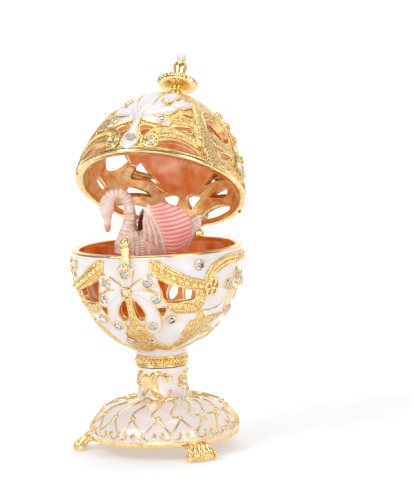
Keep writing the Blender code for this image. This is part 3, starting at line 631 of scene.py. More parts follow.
def prism(wall, places):
    """A prism through a wall with a smooth outline, as points and faces."""
    outline = smooth_path(places, True, 8)
    points = [frame_at(wall, azimuth, share)[0] for azimuth, share in outline]
    azimuth = sum(place[0] for place in places) / len(places)
    share = sum(place[1] for place in places) / len(places)
    centre, normal, _ = frame_at(wall, azimuth, share)
    low = [point - normal * ((point - centre).dot(normal) + 4.5 * MM) for point in points]
    high = [point - normal * ((point - centre).dot(normal) - 3.0 * MM) for point in points]
    count = len(points)
    faces = [(index, (index + 1) % count, count + (index + 1) % count, count + index)
        for index in range(count)]
    faces += [tuple(range(count))[::-1], tuple(range(count, 2 * count))]
    return low + high, faces


def plain_mesh(name, points, faces):
    mesh = bpy.data.meshes.new(name)
    mesh.from_pydata([tuple(point) for point in points], [], faces)
    shape = bmesh.new()
    shape.from_mesh(mesh)
    bmesh.ops.recalc_face_normals(shape, faces=shape.faces)
    shape.to_mesh(mesh)
    shape.free()
    item = bpy.data.objects.new(name, mesh)
    bpy.context.scene.collection.objects.link(item)
    return item


def pierced(profile, segments, wall, outlines):
    """A turned shell with openings cut through it, as a mesh about the axis."""
    rings = turned(profile, segments)
    count = len(rings)
    points = [point for ring in rings for point in ring]
    faces = []
    for row in range(count):
        low, high = row * segments, (row + 1) % count * segments
        for index in range(segments):
            after = (index + 1) % segments
            faces.append((low + index, low + after, high + after, high + index))
    shell = plain_mesh("shell", points, faces)
    cut_points, cut_faces = [], []
    for outline in outlines:
        points, faces = prism(wall, outline)
        start = len(cut_points)
        cut_points += points
        cut_faces += [tuple(start + index for index in face) for face in faces]
    cutter = plain_mesh("cutter", cut_points, cut_faces)
    step = shell.modifiers.new("pierce", "BOOLEAN")
    step.operation = "DIFFERENCE"
    step.solver = "EXACT"
    step.object = cutter
    bpy.context.view_layer.update()
    graph = bpy.context.evaluated_depsgraph_get()
    mesh = bpy.data.meshes.new_from_object(shell.evaluated_get(graph))
    for item in (shell, cutter):
        bpy.data.objects.remove(item, do_unlink=True)
    return mesh


def spread(wall, first, last, rows, inset=0.0):
    """Profile points along a wall, moved inwards by inset."""
    result = []
    for row in range(rows + 1):
        share = first + (last - first) * row / rows
        point, normal, _ = frame_at(wall, 0.0, share)
        moved = point - normal * inset
        result.append((max(-moved.y, 0.01 * MM), moved.z))
    return result


def bowl_profile():
    profile = [(0.02 * MM, BOWL_BOTTOM + FLOOR_THICKNESS), (6.0 * MM, BOWL_BOTTOM + FLOOR_THICKNESS)]
    profile += spread(bowl_wall, 0.93, 0.10, 26, WALL)
    profile += [(RIM_INNER_RADIUS, RIM_Z - RIM_BAND), (RIM_INNER_RADIUS, RIM_Z - 0.4 * MM)]
    for step in range(7):
        angle = math.pi * step / 6
        middle = (RIM_RADIUS + RIM_INNER_RADIUS) / 2
        half = (RIM_RADIUS - RIM_INNER_RADIUS) / 2
        profile.append((middle - half * math.cos(angle), RIM_Z - 0.4 * MM + 0.4 * MM * math.sin(angle)))
    profile += [(RIM_RADIUS + 0.05 * MM, RIM_Z - 0.9 * MM), (RIM_RADIUS - 0.05 * MM, RIM_Z - RIM_BAND)]
    profile += spread(bowl_wall, 0.055, 0.985, 40)
    profile += [(COLLAR_WAIST + 0.3 * MM, BOWL_BOTTOM - 0.6 * MM),
        (COLLAR_WAIST + 0.05 * MM, COLLAR_TOP - 0.1 * MM)]
    profile += [(0.02 * MM, COLLAR_TOP - 0.1 * MM)]
    return profile


def lid_profile():
    top = lid_wall(1.0)[1]
    profile = [(0.02 * MM, top), *spread(lid_wall, 0.995, 0.055, 44)]
    profile += [(RIM_RADIUS - 0.05 * MM, LID_BOTTOM + RIM_BAND),
        (RIM_RADIUS + 0.05 * MM, LID_BOTTOM + 0.9 * MM)]
    for step in range(7):
        angle = math.pi * step / 6
        middle = (RIM_RADIUS + RIM_INNER_RADIUS) / 2
        half = (RIM_RADIUS - RIM_INNER_RADIUS) / 2
        profile.append((middle + half * math.cos(angle),
            LID_BOTTOM + 0.4 * MM - 0.4 * MM * math.sin(angle)))
    profile += spread(lid_wall, 0.05, 0.95, 60, WALL)
    profile += [(0.02 * MM, top - WALL)]
    return profile


def shell_outlines(sets):
    result = []
    for middle, outlines in sets:
        for outline in outlines:
            for side in mirrored(outline):
                result.append(around(side, middle))
    return result


BOWL_OUTLINES = shell_outlines(
    [(middle, [BOWL_SIDE_OPENING, BOWL_LOBE_OPENING, BOWL_SLOT_OPENING])
    for middle in BOWL_BOWS.values()]
)
LID_SHARED = [LID_DROP_OPENING, LID_CRESCENT, LID_SLANT_OPENING, LID_LOW_OPENING]
LID_OUTLINES = shell_outlines(
    [(LID_BOWS["front"], LID_SHARED + LID_FRONT_OPENINGS),
    (LID_BOWS["back"], LID_SHARED + LID_BACK_OPENINGS)]
)


def make_bowl_shell():
    mesh = pierced(bowl_profile(), 144, bowl_wall, BOWL_OUTLINES)
    mesh.materials.clear()
    for finish in (ENAMEL, ORANGE, GOLD):
        mesh.materials.append(finish)
    for face in mesh.polygons:
        place = face.center
        radius = math.hypot(place.x, place.y)
        share = (RIM_Z - place.z) / BOWL_HEIGHT
        wall_radius = bowl_wall(min(max(share, 0.0), 0.999))[0]
        point, normal, _ = frame_at(bowl_wall, math.degrees(math.atan2(place.x, -place.y)),
            min(max(share, 0.0), 0.99))
        facing = face.normal.dot(normal)
        if share < 0.036:
            face.material_index = 2
        elif share > 0.95 and face.normal.dot(Vector((place.x, place.y, 0.0)).normalized()) > 0.3:
            face.material_index = 0
        elif facing > 0.7 and radius > wall_radius - 0.5 * MM:
            face.material_index = 0
        elif facing < -0.55 or radius < wall_radius - 1.5 * MM and abs(facing) > 0.8:
            face.material_index = 1
        else:
            face.material_index = 2
    mesh.transform(TO_BOX)
    publish("bowl_shell", mesh, "box", hides=("bowl",), sharp=35)


def panel_edge(azimuth):
    """Share of the lid's height where the orange panel inside it starts."""
    away = abs((azimuth - LID_BOWS["back"] + 180) % 360 - 180)
    return 0.27 + 0.0046 * min(away, 48.0)


def inside_outline(azimuth, share, outline):
    """Whether a place on a wall lies in an opening."""
    middle = sum(place[0] for place in outline) / len(outline)
    places = [(place[0] - middle, place[1]) for place in smooth_path(outline, True, 4)]
    across = (azimuth - middle + 180) % 360 - 180
    inside = False
    for (x0, y0), (x1, y1) in zip(places, places[1:] + places[:1]):
        if (y0 > share) != (y1 > share) and across < x0 + (share - y0) * (x1 - x0) / (y1 - y0):
            inside = not inside
    return inside


def panel_border():
    """A gilt wire along the edge of the orange panel, between the openings."""
    shape = Shape("lid_panel_border", "lid", "polished_gilt", [GOLD])
    run = []
    for azimuth in range(0, 362):
        share = panel_edge(azimuth)
        if azimuth < 361 and not any(inside_outline(azimuth, share, outline)
                for outline in LID_OUTLINES):
            point, normal, _ = frame_at(lid_wall, azimuth, share)
            run.append((point - normal * WALL, normal))
        else:
            if len(run) > 2:
                tube(shape, [point for point, _ in run], [normal for _, normal in run], 0.4 * MM, 8)
            run = []
    shape.done()


def make_lid_shell():
    mesh = pierced(lid_profile(), 144, lid_wall, LID_OUTLINES)
    mesh.materials.clear()
    for finish in (GRAIN, ORANGE, GOLD, AMBER):
        mesh.materials.append(finish)
    for face in mesh.polygons:
        place = face.center
        share = (place.z - LID_BOTTOM) / LID_HEIGHT
        azimuth = math.degrees(math.atan2(place.x, -place.y))
        point, normal, _ = frame_at(lid_wall, azimuth, min(max(share, 0.0), 0.99))
        facing = face.normal.dot(normal)
        if share < 0.05:
            face.material_index = 2
        elif facing > 0.7:
            face.material_index = 0
        elif facing < -0.55:
            face.material_index = 1 if share > panel_edge(azimuth) else 3
        else:
            face.material_index = 3
    mesh.transform(TO_LID)
    publish("lid_shell", mesh, "lid", hides=("lid",), sharp=35)


def opening_wires(name, body, wall, outlines, radius):
    """Gilt wires round every opening, on the outside and along the inner edge."""
    shape = Shape(name, body, "polished_gilt", [GOLD])
    for outline in outlines:
        wire(shape, wall, outline, radius, 0.05 * MM, True, 8, 0, 8)
        path = smooth_path(outline, True, 8)
        azimuth = sum(place[0] for place in outline) / len(outline)
        share = sum(place[1] for place in outline) / len(outline)
        _, middle_normal, _ = frame_at(wall, azimuth, share)
        points, normals = [], []
        for place in path:
            point, normal, _ = frame_at(wall, *place)
            points.append(point - middle_normal * WALL * 0.93 / max(middle_normal.dot(normal), 0.5))
            normals.append(middle_normal)
        tube(shape, points, normals, radius * 0.8, 6, True)
    shape.done()


make_bowl_shell()
make_lid_shell()
panel_border()
opening_wires("bowl_opening_wires", "box", bowl_wall, BOWL_OUTLINES, 0.24 * MM)
opening_wires("lid_opening_wires", "lid", lid_wall, LID_OUTLINES, 0.26 * MM)


# Pedestal

def make_pedestal():
    """Stem and domed base."""
    top = COLLAR_BOTTOM - SEAT_GAP
    shape = Shape("pedestal_shell", "box", "pedestal_enamel", [BASE_ENAMEL, GOLD], hides=("pedestal",))
    outer = [(0.02 * MM, top), (COLLAR_WAIST, top), (COLLAR_WAIST, top - 0.8 * MM)]
    outer += [stem_wall(step / 8) for step in range(9)]
    outer += [base_wall(step / 40) for step in range(1, 41)]
    edge = [(BASE_RADIUS + 0.05 * MM, BASE_LIFT + 1.5 * MM),
        (BASE_RADIUS + 0.02 * MM, BASE_LIFT + 0.8 * MM)]
    edge += [(BASE_RADIUS - 0.3 * MM, BASE_LIFT + 0.2 * MM), (BASE_RADIUS - 1.0 * MM, BASE_LIFT)]
    edge += [(BASE_RADIUS - 2.4 * MM, BASE_LIFT)]
    inner = []
    for step in range(18, -1, -1):
        radius, height = base_wall(step / 20)
        inner.append((max(radius - BASE_WALL, 0.02 * MM),
            height - BASE_WALL * min(1.0, 0.35 + step / 20)))
    inner.append((0.02 * MM, inner[-1][1]))
    shape.loft(turned(outer, 144), 0, caps=False)
    shape.loft(turned([outer[-1], *edge], 144), 1, caps=False)
    shape.loft(turned([edge[-1], *inner], 144), 1, caps=False)
    shape.done(40)


make_pedestal()


# Bowl ornament

BOWL_PETALS = [
    [(0.5, 0.315, 0.8), (0.5, 0.25, 1.5), (0.8, 0.18, 2.0), (1, 0.125, 1.9), (1, 0.09, 0.6)],
    [(3, 0.325, 0.8), (9, 0.287, 1.5), (14.5, 0.256, 2.1), (18.5, 0.245, 1.9), (21, 0.245, 0.6)],
    [(3, 0.35, 0.8), (9, 0.36, 1.4), (16, 0.405, 2.1), (21.5, 0.452, 2.1), (24.5, 0.485, 0.7)],
    [(3, 0.37, 0.7), (8, 0.42, 1.2), (12.5, 0.478, 1.7), (15.8, 0.55, 2.0), (16.6, 0.62, 2.5),
    (16, 0.69, 2.6), (15.3, 0.74, 1.9), (15, 0.775, 0.5)],
]
BOWL_STEM = [(0, 0.37, 0.9), (0, 0.58, 1.0), (0, 0.66, 1.5), (0, 0.74, 3.6), (0, 0.83, 4.3),
    (0, 0.93, 3.4), (0, 0.975, 1.8)]
BOWL_STEM_LEAF = [(4, 0.85, 1.6), (15, 0.91, 2.0), (30, 0.955, 1.3), (42, 0.965, 0.3)]
BOWL_SWAG = [(17.5, 0.09, 0.6), (20, 0.115, 1.8), (25, 0.16, 2.0), (32.5, 0.22, 1.95), (42, 0.28, 1.75),
    (51, 0.315, 1.55), (58, 0.33, 1.3)]
BOWL_ARM = [(57, 0.30, 0.9), (59, 0.23, 1.5), (63, 0.17, 1.7), (70, 0.128, 1.55), (78, 0.11, 1.45),
    (91, 0.11, 1.2)]
SWAG_BEADS = [(20.5, 0.122), (24.2, 0.153), (28, 0.187), (32, 0.217), (36.4, 0.246), (41, 0.274),
    (46, 0.297), (51.3, 0.316)]
SIDE_LEAF = [(27.5, 0.495, 0.2), (31.5, 0.51, 1.3), (37.5, 0.525, 2.1), (45, 0.537, 1.8),
    (52, 0.56, 1.0)]
PENDANT = [(52.8, 0.37, 0.6), (52.8, 0.41, 1.5), (52.8, 0.46, 1.9), (52.8, 0.51, 1.5),
    (52.8, 0.552, 0.4)]
ACANTHUS_BANDS = [
    [(55, 0.56, 0.5), (56, 0.62, 1.2), (58, 0.70, 2.6), (57, 0.78, 3.0), (51, 0.86, 2.2),
    (42, 0.92, 1.2), (33, 0.955, 0.3)],
    [(58, 0.73, 1.2), (66, 0.695, 1.9), (75, 0.665, 1.5), (84, 0.645, 0.3)],
    [(58, 0.80, 1.2), (68, 0.79, 1.7), (78, 0.79, 1.2), (86, 0.80, 0.3)],
    [(56, 0.74, 1.2), (49, 0.755, 1.6), (43.5, 0.80, 0.3)],
    [(56, 0.69, 0.9), (50, 0.69, 1.2), (46, 0.715, 0.3)],
]
RIBBON_LINE = [(57, 0.575), (64, 0.574), (72, 0.56), (79, 0.49), (83, 0.42), (84, 0.38)]
SWEEP_LINE = [(86, 0.80), (80, 0.885), (68, 0.945), (50, 0.975), (30, 0.99)]
SIDE_MOTIF_BANDS = [
    [(0, 0.36, 0.8), (0, 0.30, 1.6), (0, 0.25, 1.7), (0, 0.205, 0.4)],
    [(2, 0.365, 0.7), (7, 0.35, 1.5), (12, 0.352, 1.6), (15, 0.355, 0.4)],
    [(0, 0.40, 0.7), (0, 0.50, 1.3), (0, 0.59, 1.7), (0, 0.65, 0.4)],
]
HALF_MIRROR = (1, -1)


def flip(places, side):
    return [(place[0] * side, *place[1:]) for place in places]


def only_once(places, side):
    return side == 1 or any(place[0] for place in places)


def bowl_ornament():
    petals = Shape("bowl_petals", "box", "white_enamel", [ENAMEL, GOLD])
    relief = Shape("bowl_relief", "box", "granulated_gilt", [GRAIN, GOLD])
    wires = Shape("bowl_wires", "box", "polished_gilt", [GOLD])
    for middle in BOWL_BOWS.values():
        for side in HALF_MIRROR:
            for index, places in enumerate(BOWL_PETALS):
                if only_once(places, side):
                    ridge(petals, bowl_wall, around(flip(places, side), middle),
                        (0.80 - 0.04 * index) * MM, edge=0.3 * MM)
            for places in ([BOWL_STEM_LEAF, SIDE_LEAF, PENDANT] + ACANTHUS_BANDS):
                ridge(relief, bowl_wall, around(flip(places, side), middle), 0.7 * MM, edge=0.17 * MM)
            for places in (BOWL_SWAG, BOWL_ARM):
                ridge(relief, bowl_wall, around(flip(places, side), middle), 0.35 * MM, edge=0.34 * MM)
            for azimuth, share in flip(SWAG_BEADS, side):
                wall_bead(wires, bowl_wall, middle + azimuth, share, 1.0 * MM, 0.55 * MM)
            arm = smooth_path(BOWL_ARM, False, 5)[3:-2]
            for index, (azimuth, share, half) in enumerate(arm):
                for offset in (-0.42, 0.42):
                    wall_bead(wires, bowl_wall, middle + side * azimuth, share + offset * half / 33.0,
                        0.62 * MM, 0.3 * MM)
            for line, radius in ((RIBBON_LINE, 0.32 * MM), (SWEEP_LINE, 0.35 * MM)):
                wire(wires, bowl_wall, around(flip(line, side), middle), radius, 0.05 * MM)
            knot(wires, middle, side)
            swag_flower(wires, middle, side)
            for azimuth, share in ((52.5, 0.43), (52.5, 0.49)):
                wall_bead(wires, bowl_wall, middle + side * azimuth, share, 0.45 * MM, 0.75 * MM)
        ridge(relief, bowl_wall, around(BOWL_STEM, middle), 0.8 * MM, edge=0.2 * MM)
        wall_bead(wires, bowl_wall, middle, 0.34, 2.0 * MM, 0.1 * MM, squash=0.9)
    for middle in (88.0, -88.0):
        for places in SIDE_MOTIF_BANDS:
            for side in HALF_MIRROR:
                if only_once(places, side):
                    ridge(petals, bowl_wall, around(flip(places, side), middle), 0.7 * MM,
                        edge=0.28 * MM)
        wall_bead(wires, bowl_wall, middle, 0.375, 1.5 * MM, 0.1 * MM)
    petals.done()
    relief.done()
    wires.done()


def knot(shape, middle, side):
    """Loops and petals of the knot where swag and arm meet."""
    centre = (61.0, 0.345)
    for turn in range(5):
        angle = math.radians(90 + 72 * turn)
        azimuth = centre[0] + 3.6 * math.cos(angle)
        share = centre[1] - 0.052 * math.sin(angle)
        places = []
        for step in range(10):
            bend = 2 * math.pi * step / 10
            places.append((middle + side * (azimuth + 2.3 * math.cos(bend)),
                share - 0.034 * math.sin(bend)))
        wire(shape, bowl_wall, places, 0.42 * MM, 0.45 * MM, True, 2)
    wall_bead(shape, bowl_wall, middle + side * centre[0], centre[1], 1.0 * MM, 0.5 * MM)


def swag_flower(shape, middle, side):
    """The small pierced flower at the swag's upper end."""
    for turn in range(5):
        angle = math.radians(72 * turn + 18)
        wall_bead(shape, bowl_wall, middle + side * (19.2 + 1.4 * math.cos(angle)),
            0.085 - 0.02 * math.sin(angle), 0.5 * MM, 0.35 * MM)
    wire(shape, bowl_wall, around(flip([(16.5, 0.06), (18, 0.115), (23, 0.135), (24, 0.09),
        (20, 0.055)], side), middle), 0.3 * MM, 0.25 * MM, True)


# Lid ornament

LID_BOW_PETALS = [
    [(0, 0.45, 0.8), (-0.5, 0.56, 2.3), (-1, 0.67, 3.1), (-1, 0.765, 2.8), (-1, 0.83, 0.8)],
    [(3, 0.45, 0.8), (10, 0.56, 1.9), (16.5, 0.67, 2.6), (22, 0.76, 2.3), (26, 0.83, 0.6)],
    [(3, 0.44, 0.8), (10, 0.475, 1.6), (17.5, 0.52, 2.4), (24, 0.548, 2.0), (28.5, 0.565, 0.5)],
    [(3, 0.415, 0.9), (10, 0.40, 1.4), (17.5, 0.382, 1.7), (22, 0.36, 1.5), (25, 0.345, 0.4)],
    [(24, 0.60, 0.5), (28.5, 0.625, 2.2), (34, 0.655, 2.7), (39, 0.68, 1.9), (42, 0.695, 0.4)],
]
LID_DROP_BAND = [(0, 0.41, 0.9), (-0.3, 0.33, 0.9), (-0.8, 0.26, 1.3), (-1, 0.18, 2.8), (-1, 0.11, 3.1),
    (-1, 0.06, 1.9), (-1, 0.035, 0.6)]
LID_RIBS = [
    [(44, 0.84, 1.0), (46.5, 0.68, 1.5), (47.5, 0.56, 1.6), (48.3, 0.42, 2.3), (51, 0.30, 3.0),
    (55, 0.18, 2.8), (59.5, 0.08, 2.9), (62, 0.05, 2.4)],
    [(16.5, 0.205, 1.3), (20, 0.235, 1.5), (26, 0.248, 1.55), (33, 0.243, 1.5), (40, 0.22, 1.4),
    (47, 0.185, 1.2)],
    [(24, 0.385, 0.7), (30, 0.405, 1.0), (36, 0.42, 1.1), (44, 0.42, 1.1)],
    [(27, 0.455, 0.5), (32, 0.455, 0.8), (38, 0.45, 0.9), (44, 0.45, 0.9)],
    [(55, 0.36, 1.5), (61, 0.31, 1.7), (70, 0.30, 1.7), (82, 0.31, 1.3)],
    [(60, 0.10, 1.4), (72, 0.095, 1.5), (86, 0.09, 1.3)],
    [(51, 0.60, 1.0), (60, 0.635, 1.3), (72, 0.63, 1.4), (84, 0.56, 1.2)],
]
LID_SIDE_BAND = [(0, 0.80, 0.8), (0, 0.62, 1.8), (0, 0.40, 2.2), (0, 0.20, 2.2), (0, 0.06, 1.4)]


def lid_ornament():
    petals = Shape("lid_petals", "lid", "white_enamel", [ENAMEL, GOLD])
    relief = Shape("lid_relief", "lid", "granulated_gilt", [GRAIN, GOLD])
    wires = Shape("lid_wires", "lid", "polished_gilt", [GOLD])
    for middle in LID_BOWS.values():
        for side in HALF_MIRROR:
            for index, places in enumerate(LID_BOW_PETALS):
                ridge(petals, lid_wall, around(flip(places, side), middle), (0.85 - 0.06 * index) * MM,
                    edge=0.34 * MM)
            for places in LID_RIBS:
                ridge(relief, lid_wall, around(flip(places, side), middle), 0.7 * MM, edge=0.2 * MM)
            swag = smooth_path(LID_RIBS[1], False, 3)[1:]
            for azimuth, share, half in swag:
                wall_bead(wires, lid_wall, middle + side * azimuth, share, 0.66 * MM, 0.55 * MM)
            scroll(wires, middle, side)
        ridge(petals, lid_wall, around(LID_DROP_BAND, middle), 0.95 * MM, edge=0.28 * MM)
        wall_bead(petals, lid_wall, middle, 0.425, 1.6 * MM, 0.1 * MM)
    for middle in (88.0, -88.0):
        ridge(relief, lid_wall, around(LID_SIDE_BAND, middle), 0.8 * MM, edge=0.25 * MM)
    hoop(wires, lid_wall, 0.058, 0.28 * MM)
    petals.done()
    relief.done()
    wires.done()


def scroll(shape, middle, side):
    """The scroll with a stone that starts the lid's beaded swag."""
    centre = (14.0, 0.125)
    for size, radius in ((1.0, 0.36), (0.62, 0.26)):
        places = []
        for step in range(14):
            angle = 2 * math.pi * step / 14
            places.append((middle + side * (centre[0] + 5.0 * size * math.cos(angle)),
                centre[1] + 0.068 * size * math.sin(angle)))
        wire(shape, lid_wall, places, radius * MM, 0.5 * MM, True, 2)
    for step in range(9):
        angle = 2 * math.pi * step / 9
        wall_bead(shape, lid_wall, middle + side * (centre[0] + 4.1 * math.cos(angle)),
            centre[1] + 0.055 * math.sin(angle), 0.42 * MM, 0.5 * MM)


# Stones

def stones():
    glass = Shape("bowl_stones", "box", "crystal", [CRYSTAL, FOIL_GLINTS], smooth=False)
    cups = Shape("bowl_stone_cups", "box", "polished_gilt", [GOLD])
    lid_glass = Shape("lid_stones", "lid", "crystal", [CRYSTAL, FOIL_GLINTS], smooth=False)
    lid_cups = Shape("lid_stone_cups", "lid", "polished_gilt", [GOLD])
    hidden, lid_hidden = [], []
    for label, middle in BOWL_BOWS.items():
        lid_middle = LID_BOWS[label]
        rows = (("bowl", [(0, 0.17), (14.8, 0.256), (20, 0.415), (15.5, 0.68)], 0.72),
            ("low", [(31, 0.63)], 0.4), ("rim", [(50, 0.12)], 0.4))
        for kind, places, lift in rows:
            number = 0
            for azimuth, share in places:
                for side in (HALF_MIRROR if azimuth else (1,)):
                    number += 1
                    stone(glass, bowl_wall, middle + side * azimuth, share, 1.35 * MM, lift * MM, cups)
                    hidden.append(f"crystal_{kind}_{label}_{number}")
        number = 0
        for azimuth, share in ((18, 0.635), (18.5, 0.385)):
            for side in HALF_MIRROR:
                number += 1
                stone(lid_glass, lid_wall, lid_middle + side * azimuth, share, 1.2 * MM, 0.8 * MM,
                    lid_cups)
                lid_hidden.append(f"crystal_lid_{label}_{number}")
        stone(lid_glass, lid_wall, lid_middle, 0.15, 1.5 * MM, 0.45 * MM, lid_cups)
        stone(glass, bowl_wall, middle, 0.34, 1.45 * MM, 1.75 * MM, cups)
        hidden.append(f"crystal_bow_{label}")
        lid_hidden.append(f"crystal_drop_{label}")
        for side in HALF_MIRROR:
            stone(lid_glass, lid_wall, lid_middle + side * 14.0, 0.125, 1.0 * MM, 0.45 * MM, lid_cups)
            stone(glass, bowl_wall, middle + side * 12.0, 0.84, 1.3 * MM, 0.7 * MM, cups)
    for middle in (88.0, -88.0):
        for azimuth, share in ((0, 0.275), (11.5, 0.352), (-11.5, 0.352), (0, 0.595)):
            stone(glass, bowl_wall, middle + azimuth, share, 1.3 * MM, 0.6 * MM, cups)
        for azimuth, share in ((0, 0.127), (-5.5, 0.193), (5.5, 0.193), (-7.7, 0.355), (7.7, 0.355),
                (0, 0.52), (0, 0.66), (0, 0.78)):
            stone(lid_glass, lid_wall, middle + azimuth, share, 1.2 * MM, 0.72 * MM, lid_cups)
    glass.hides = tuple(hidden)
    lid_glass.hides = tuple(lid_hidden)
    for shape in (glass, cups, lid_glass, lid_cups):
        shape.done()


# Collar, stem and base ornament

def collar_wall(share):
    return COLLAR_WAIST, COLLAR_TOP - share * (COLLAR_TOP - COLLAR_BOTTOM)


COLLAR_ROWS = [(0.0, 0.2), (0.02, 0.55), (0.10, 0.62), (0.18, 0.35), (0.24, 0.0), (0.74, 0.0),
    (0.80, 0.40), (0.88, 0.66), (0.97, 0.60), (1.0, 0.2)]


def make_collar():
    shape = Shape("collar", "box", "granulated_gilt", [GRAIN, GOLD])
    ring = [(COLLAR_WAIST - 1 * MM, COLLAR_TOP)]
    ring += [(COLLAR_WAIST + out * MM, collar_wall(share)[1]) for share, out in COLLAR_ROWS]
    ring += [(COLLAR_WAIST - 1 * MM, COLLAR_BOTTOM)]
    shape.loft(turned(ring, 96), 1, caps=False)
    for index in range(36):
        wall_bead(shape, collar_wall, index * 10, 0.49, 0.66 * MM, 0.05 * MM, 1)
        wall_bead(shape, collar_wall, index * 10 + 5, 0.31, 0.34 * MM, 0.12 * MM, 1)
        wall_bead(shape, collar_wall, index * 10 + 5, 0.67, 0.34 * MM, 0.12 * MM, 1)
    shape.done()


STEM_SCROLLS = (-15, 133, 239)
STEM_FLOWERS = (80, 186, 292)
CRESCENT = [
    (38, 0.05, 0.4), (30, 0.0, 0.6), (20, 0.03, 0.95), (12, 0.17, 1.25), (9, 0.38, 1.35),
    (11, 0.60, 1.2), (17, 0.80, 0.85), (25, 0.92, 0.5), (33, 0.93, 0.15),
]
CRESCENT_HOOK = [(36, 0.05), (46, 0.07), (52, 0.20), (46, 0.33), (38, 0.28), (39, 0.19), (45, 0.17)]
FLOWER_PETAL = [(0.7, 0.4), (1.5, 0.75), (2.3, 0.7), (2.9, 0.2)]
BASE_BEADS = [-49.5, -28.5, -8.5, 15, 34.5, 55.5, 72.5, 90] + [110.2 + 20.03 * step
    for step in range(10)]
HOOK_SIZES = [0.0, 0.15, 0.3, 0.8, 1.0, 1.3, 1.4, 1.3] + [0.9] * 10
STAR_CENTRES = (19.5, 139.5, 259.5)


def stem_ornament(wires, glass):
    """Pairs of C-shaped scrolls and flowers with a stone round the stem."""
    for middle in STEM_SCROLLS:
        for side in HALF_MIRROR:
            ridge(wires, stem_wall, around(flip(CRESCENT, side), middle), 0.5 * MM, edge=0.22 * MM)
            wire(wires, stem_wall, around(flip([place[:2] for place in CRESCENT[1:-1]], side), middle),
                0.24 * MM, 0.5 * MM)
            wire(wires, stem_wall, around(flip(CRESCENT_HOOK, side), middle), 0.42 * MM, 0.15 * MM)
            wall_bead(wires, stem_wall, middle + side * 57, 0.22, 0.62 * MM, 0.2 * MM)
    for turn in STEM_FLOWERS:
        for step in range(6):
            angle = math.radians(60 * step + 30)
            petal = []
            for reach, half in FLOWER_PETAL:
                petal.append((turn + 7.44 * reach * math.cos(angle),
                    0.42 - 0.132 * reach * math.sin(angle), half))
            ridge(wires, stem_wall, petal, 0.55 * MM, edge=0.16 * MM)
        stone(glass, stem_wall, turn, 0.42, 1.05 * MM, 0.5 * MM, wires)


def base_ornament():
    wires = Shape("base_wires", "box", "polished_gilt", [GOLD])
    glass = Shape("stem_stones", "box", "crystal", [CRYSTAL, FOIL_GLINTS], smooth=False)
    stem_ornament(wires, glass)
    for index, top in enumerate(BASE_BEADS):
        hook = HOOK_SIZES[index]
        swirl = [(top + 6 - 6 * hook, 0.08), (top + 6 - 4 * hook, 0.20), (top + 5 - 3 * hook, 0.34),
            (top + 1 - 6.5 * hook, 0.48),
                 (top - 8 * hook, 0.56), (top - 6 * hook, 0.605), (top - 1, 0.615)]
        wire(wires, base_wall, swirl, 0.3 * MM, 0.08 * MM)
        wall_bead(wires, base_wall, top, 0.625, 0.74 * MM, 0.25 * MM)
        before = (top - BASE_BEADS[index - 1]) % 360 / 2
        after = (BASE_BEADS[(index + 1) % len(BASE_BEADS)] - top) % 360 / 2
        for side, half in ((-1, before), (1, after)):
            leg = [(top, 0.64), (top + side * 0.45 * half, 0.74), (top + side * half, 0.86)]
            wire(wires, base_wall, leg, 0.28 * MM, 0.08 * MM)
            curl = [(1.0, 0.86), (0.94, 0.905), (0.72, 0.945), (0.42, 0.935), (0.18, 0.90),
                (0.20, 0.855), (0.36, 0.85), (0.42, 0.875)]
            wire(wires, base_wall, [(top + side * across * half, share) for across, share in curl],
                0.27 * MM, 0.08 * MM)
            wall_bead(wires, base_wall, top + side * 0.34 * half, 0.88, 0.42 * MM, 0.12 * MM)
        wall_bead(wires, base_wall, top + after, 0.86, 0.5 * MM, 0.15 * MM)
    for middle in STAR_CENTRES:
        for reach, rise in ((-45, -0.06), (42, -0.03), (-14, 0.09), (12, 0.10), (3, -0.10)):
            far = [(middle, 0.15), (middle + 0.5 * reach, 0.15 + 0.7 * rise),
                (middle + reach, 0.15 + rise)]
            wire(wires, base_wall, far, lambda part: (0.62 - 0.46 * part) * MM, 0.22 * MM, density=5)
        wall_bead(wires, base_wall, middle, 0.15, 0.7 * MM, 0.35 * MM)
        leaf = [(13, 0.99), (15, 0.90), (14.5, 0.78), (18, 0.70), (20.5, 0.78), (18.5, 0.90)]
        wire(wires, stem_wall, around(leaf, middle), 0.24 * MM, 0.1 * MM, True)
    wires.done()
    glass.done()


# Feet

PAW_STATIONS = [
    (21.5, 4.0, 3.2, 0.9), (23.2, 3.9, 3.5, 1.2), (24.6, 3.7, 3.6, 1.4), (25.5, 3.0, 3.6, 1.75),
    (26.3, 2.0, 3.8, 1.75),
    (27.2, 1.35, 4.1, 1.3), (28.0, 1.35, 4.3, 1.25), (28.6, 1.55, 4.1, 1.4), (29.1, 1.7, 3.6, 1.0),
    (29.3, 1.75, 3.3, 0.4),
]
FLUTE_LINE = [(24.3, 1.32, 4.75), (25.2, 1.38, 4.65), (26.3, 1.46, 3.75), (27.1, 1.56, 2.8),
    (27.7, 1.7, 2.3)]


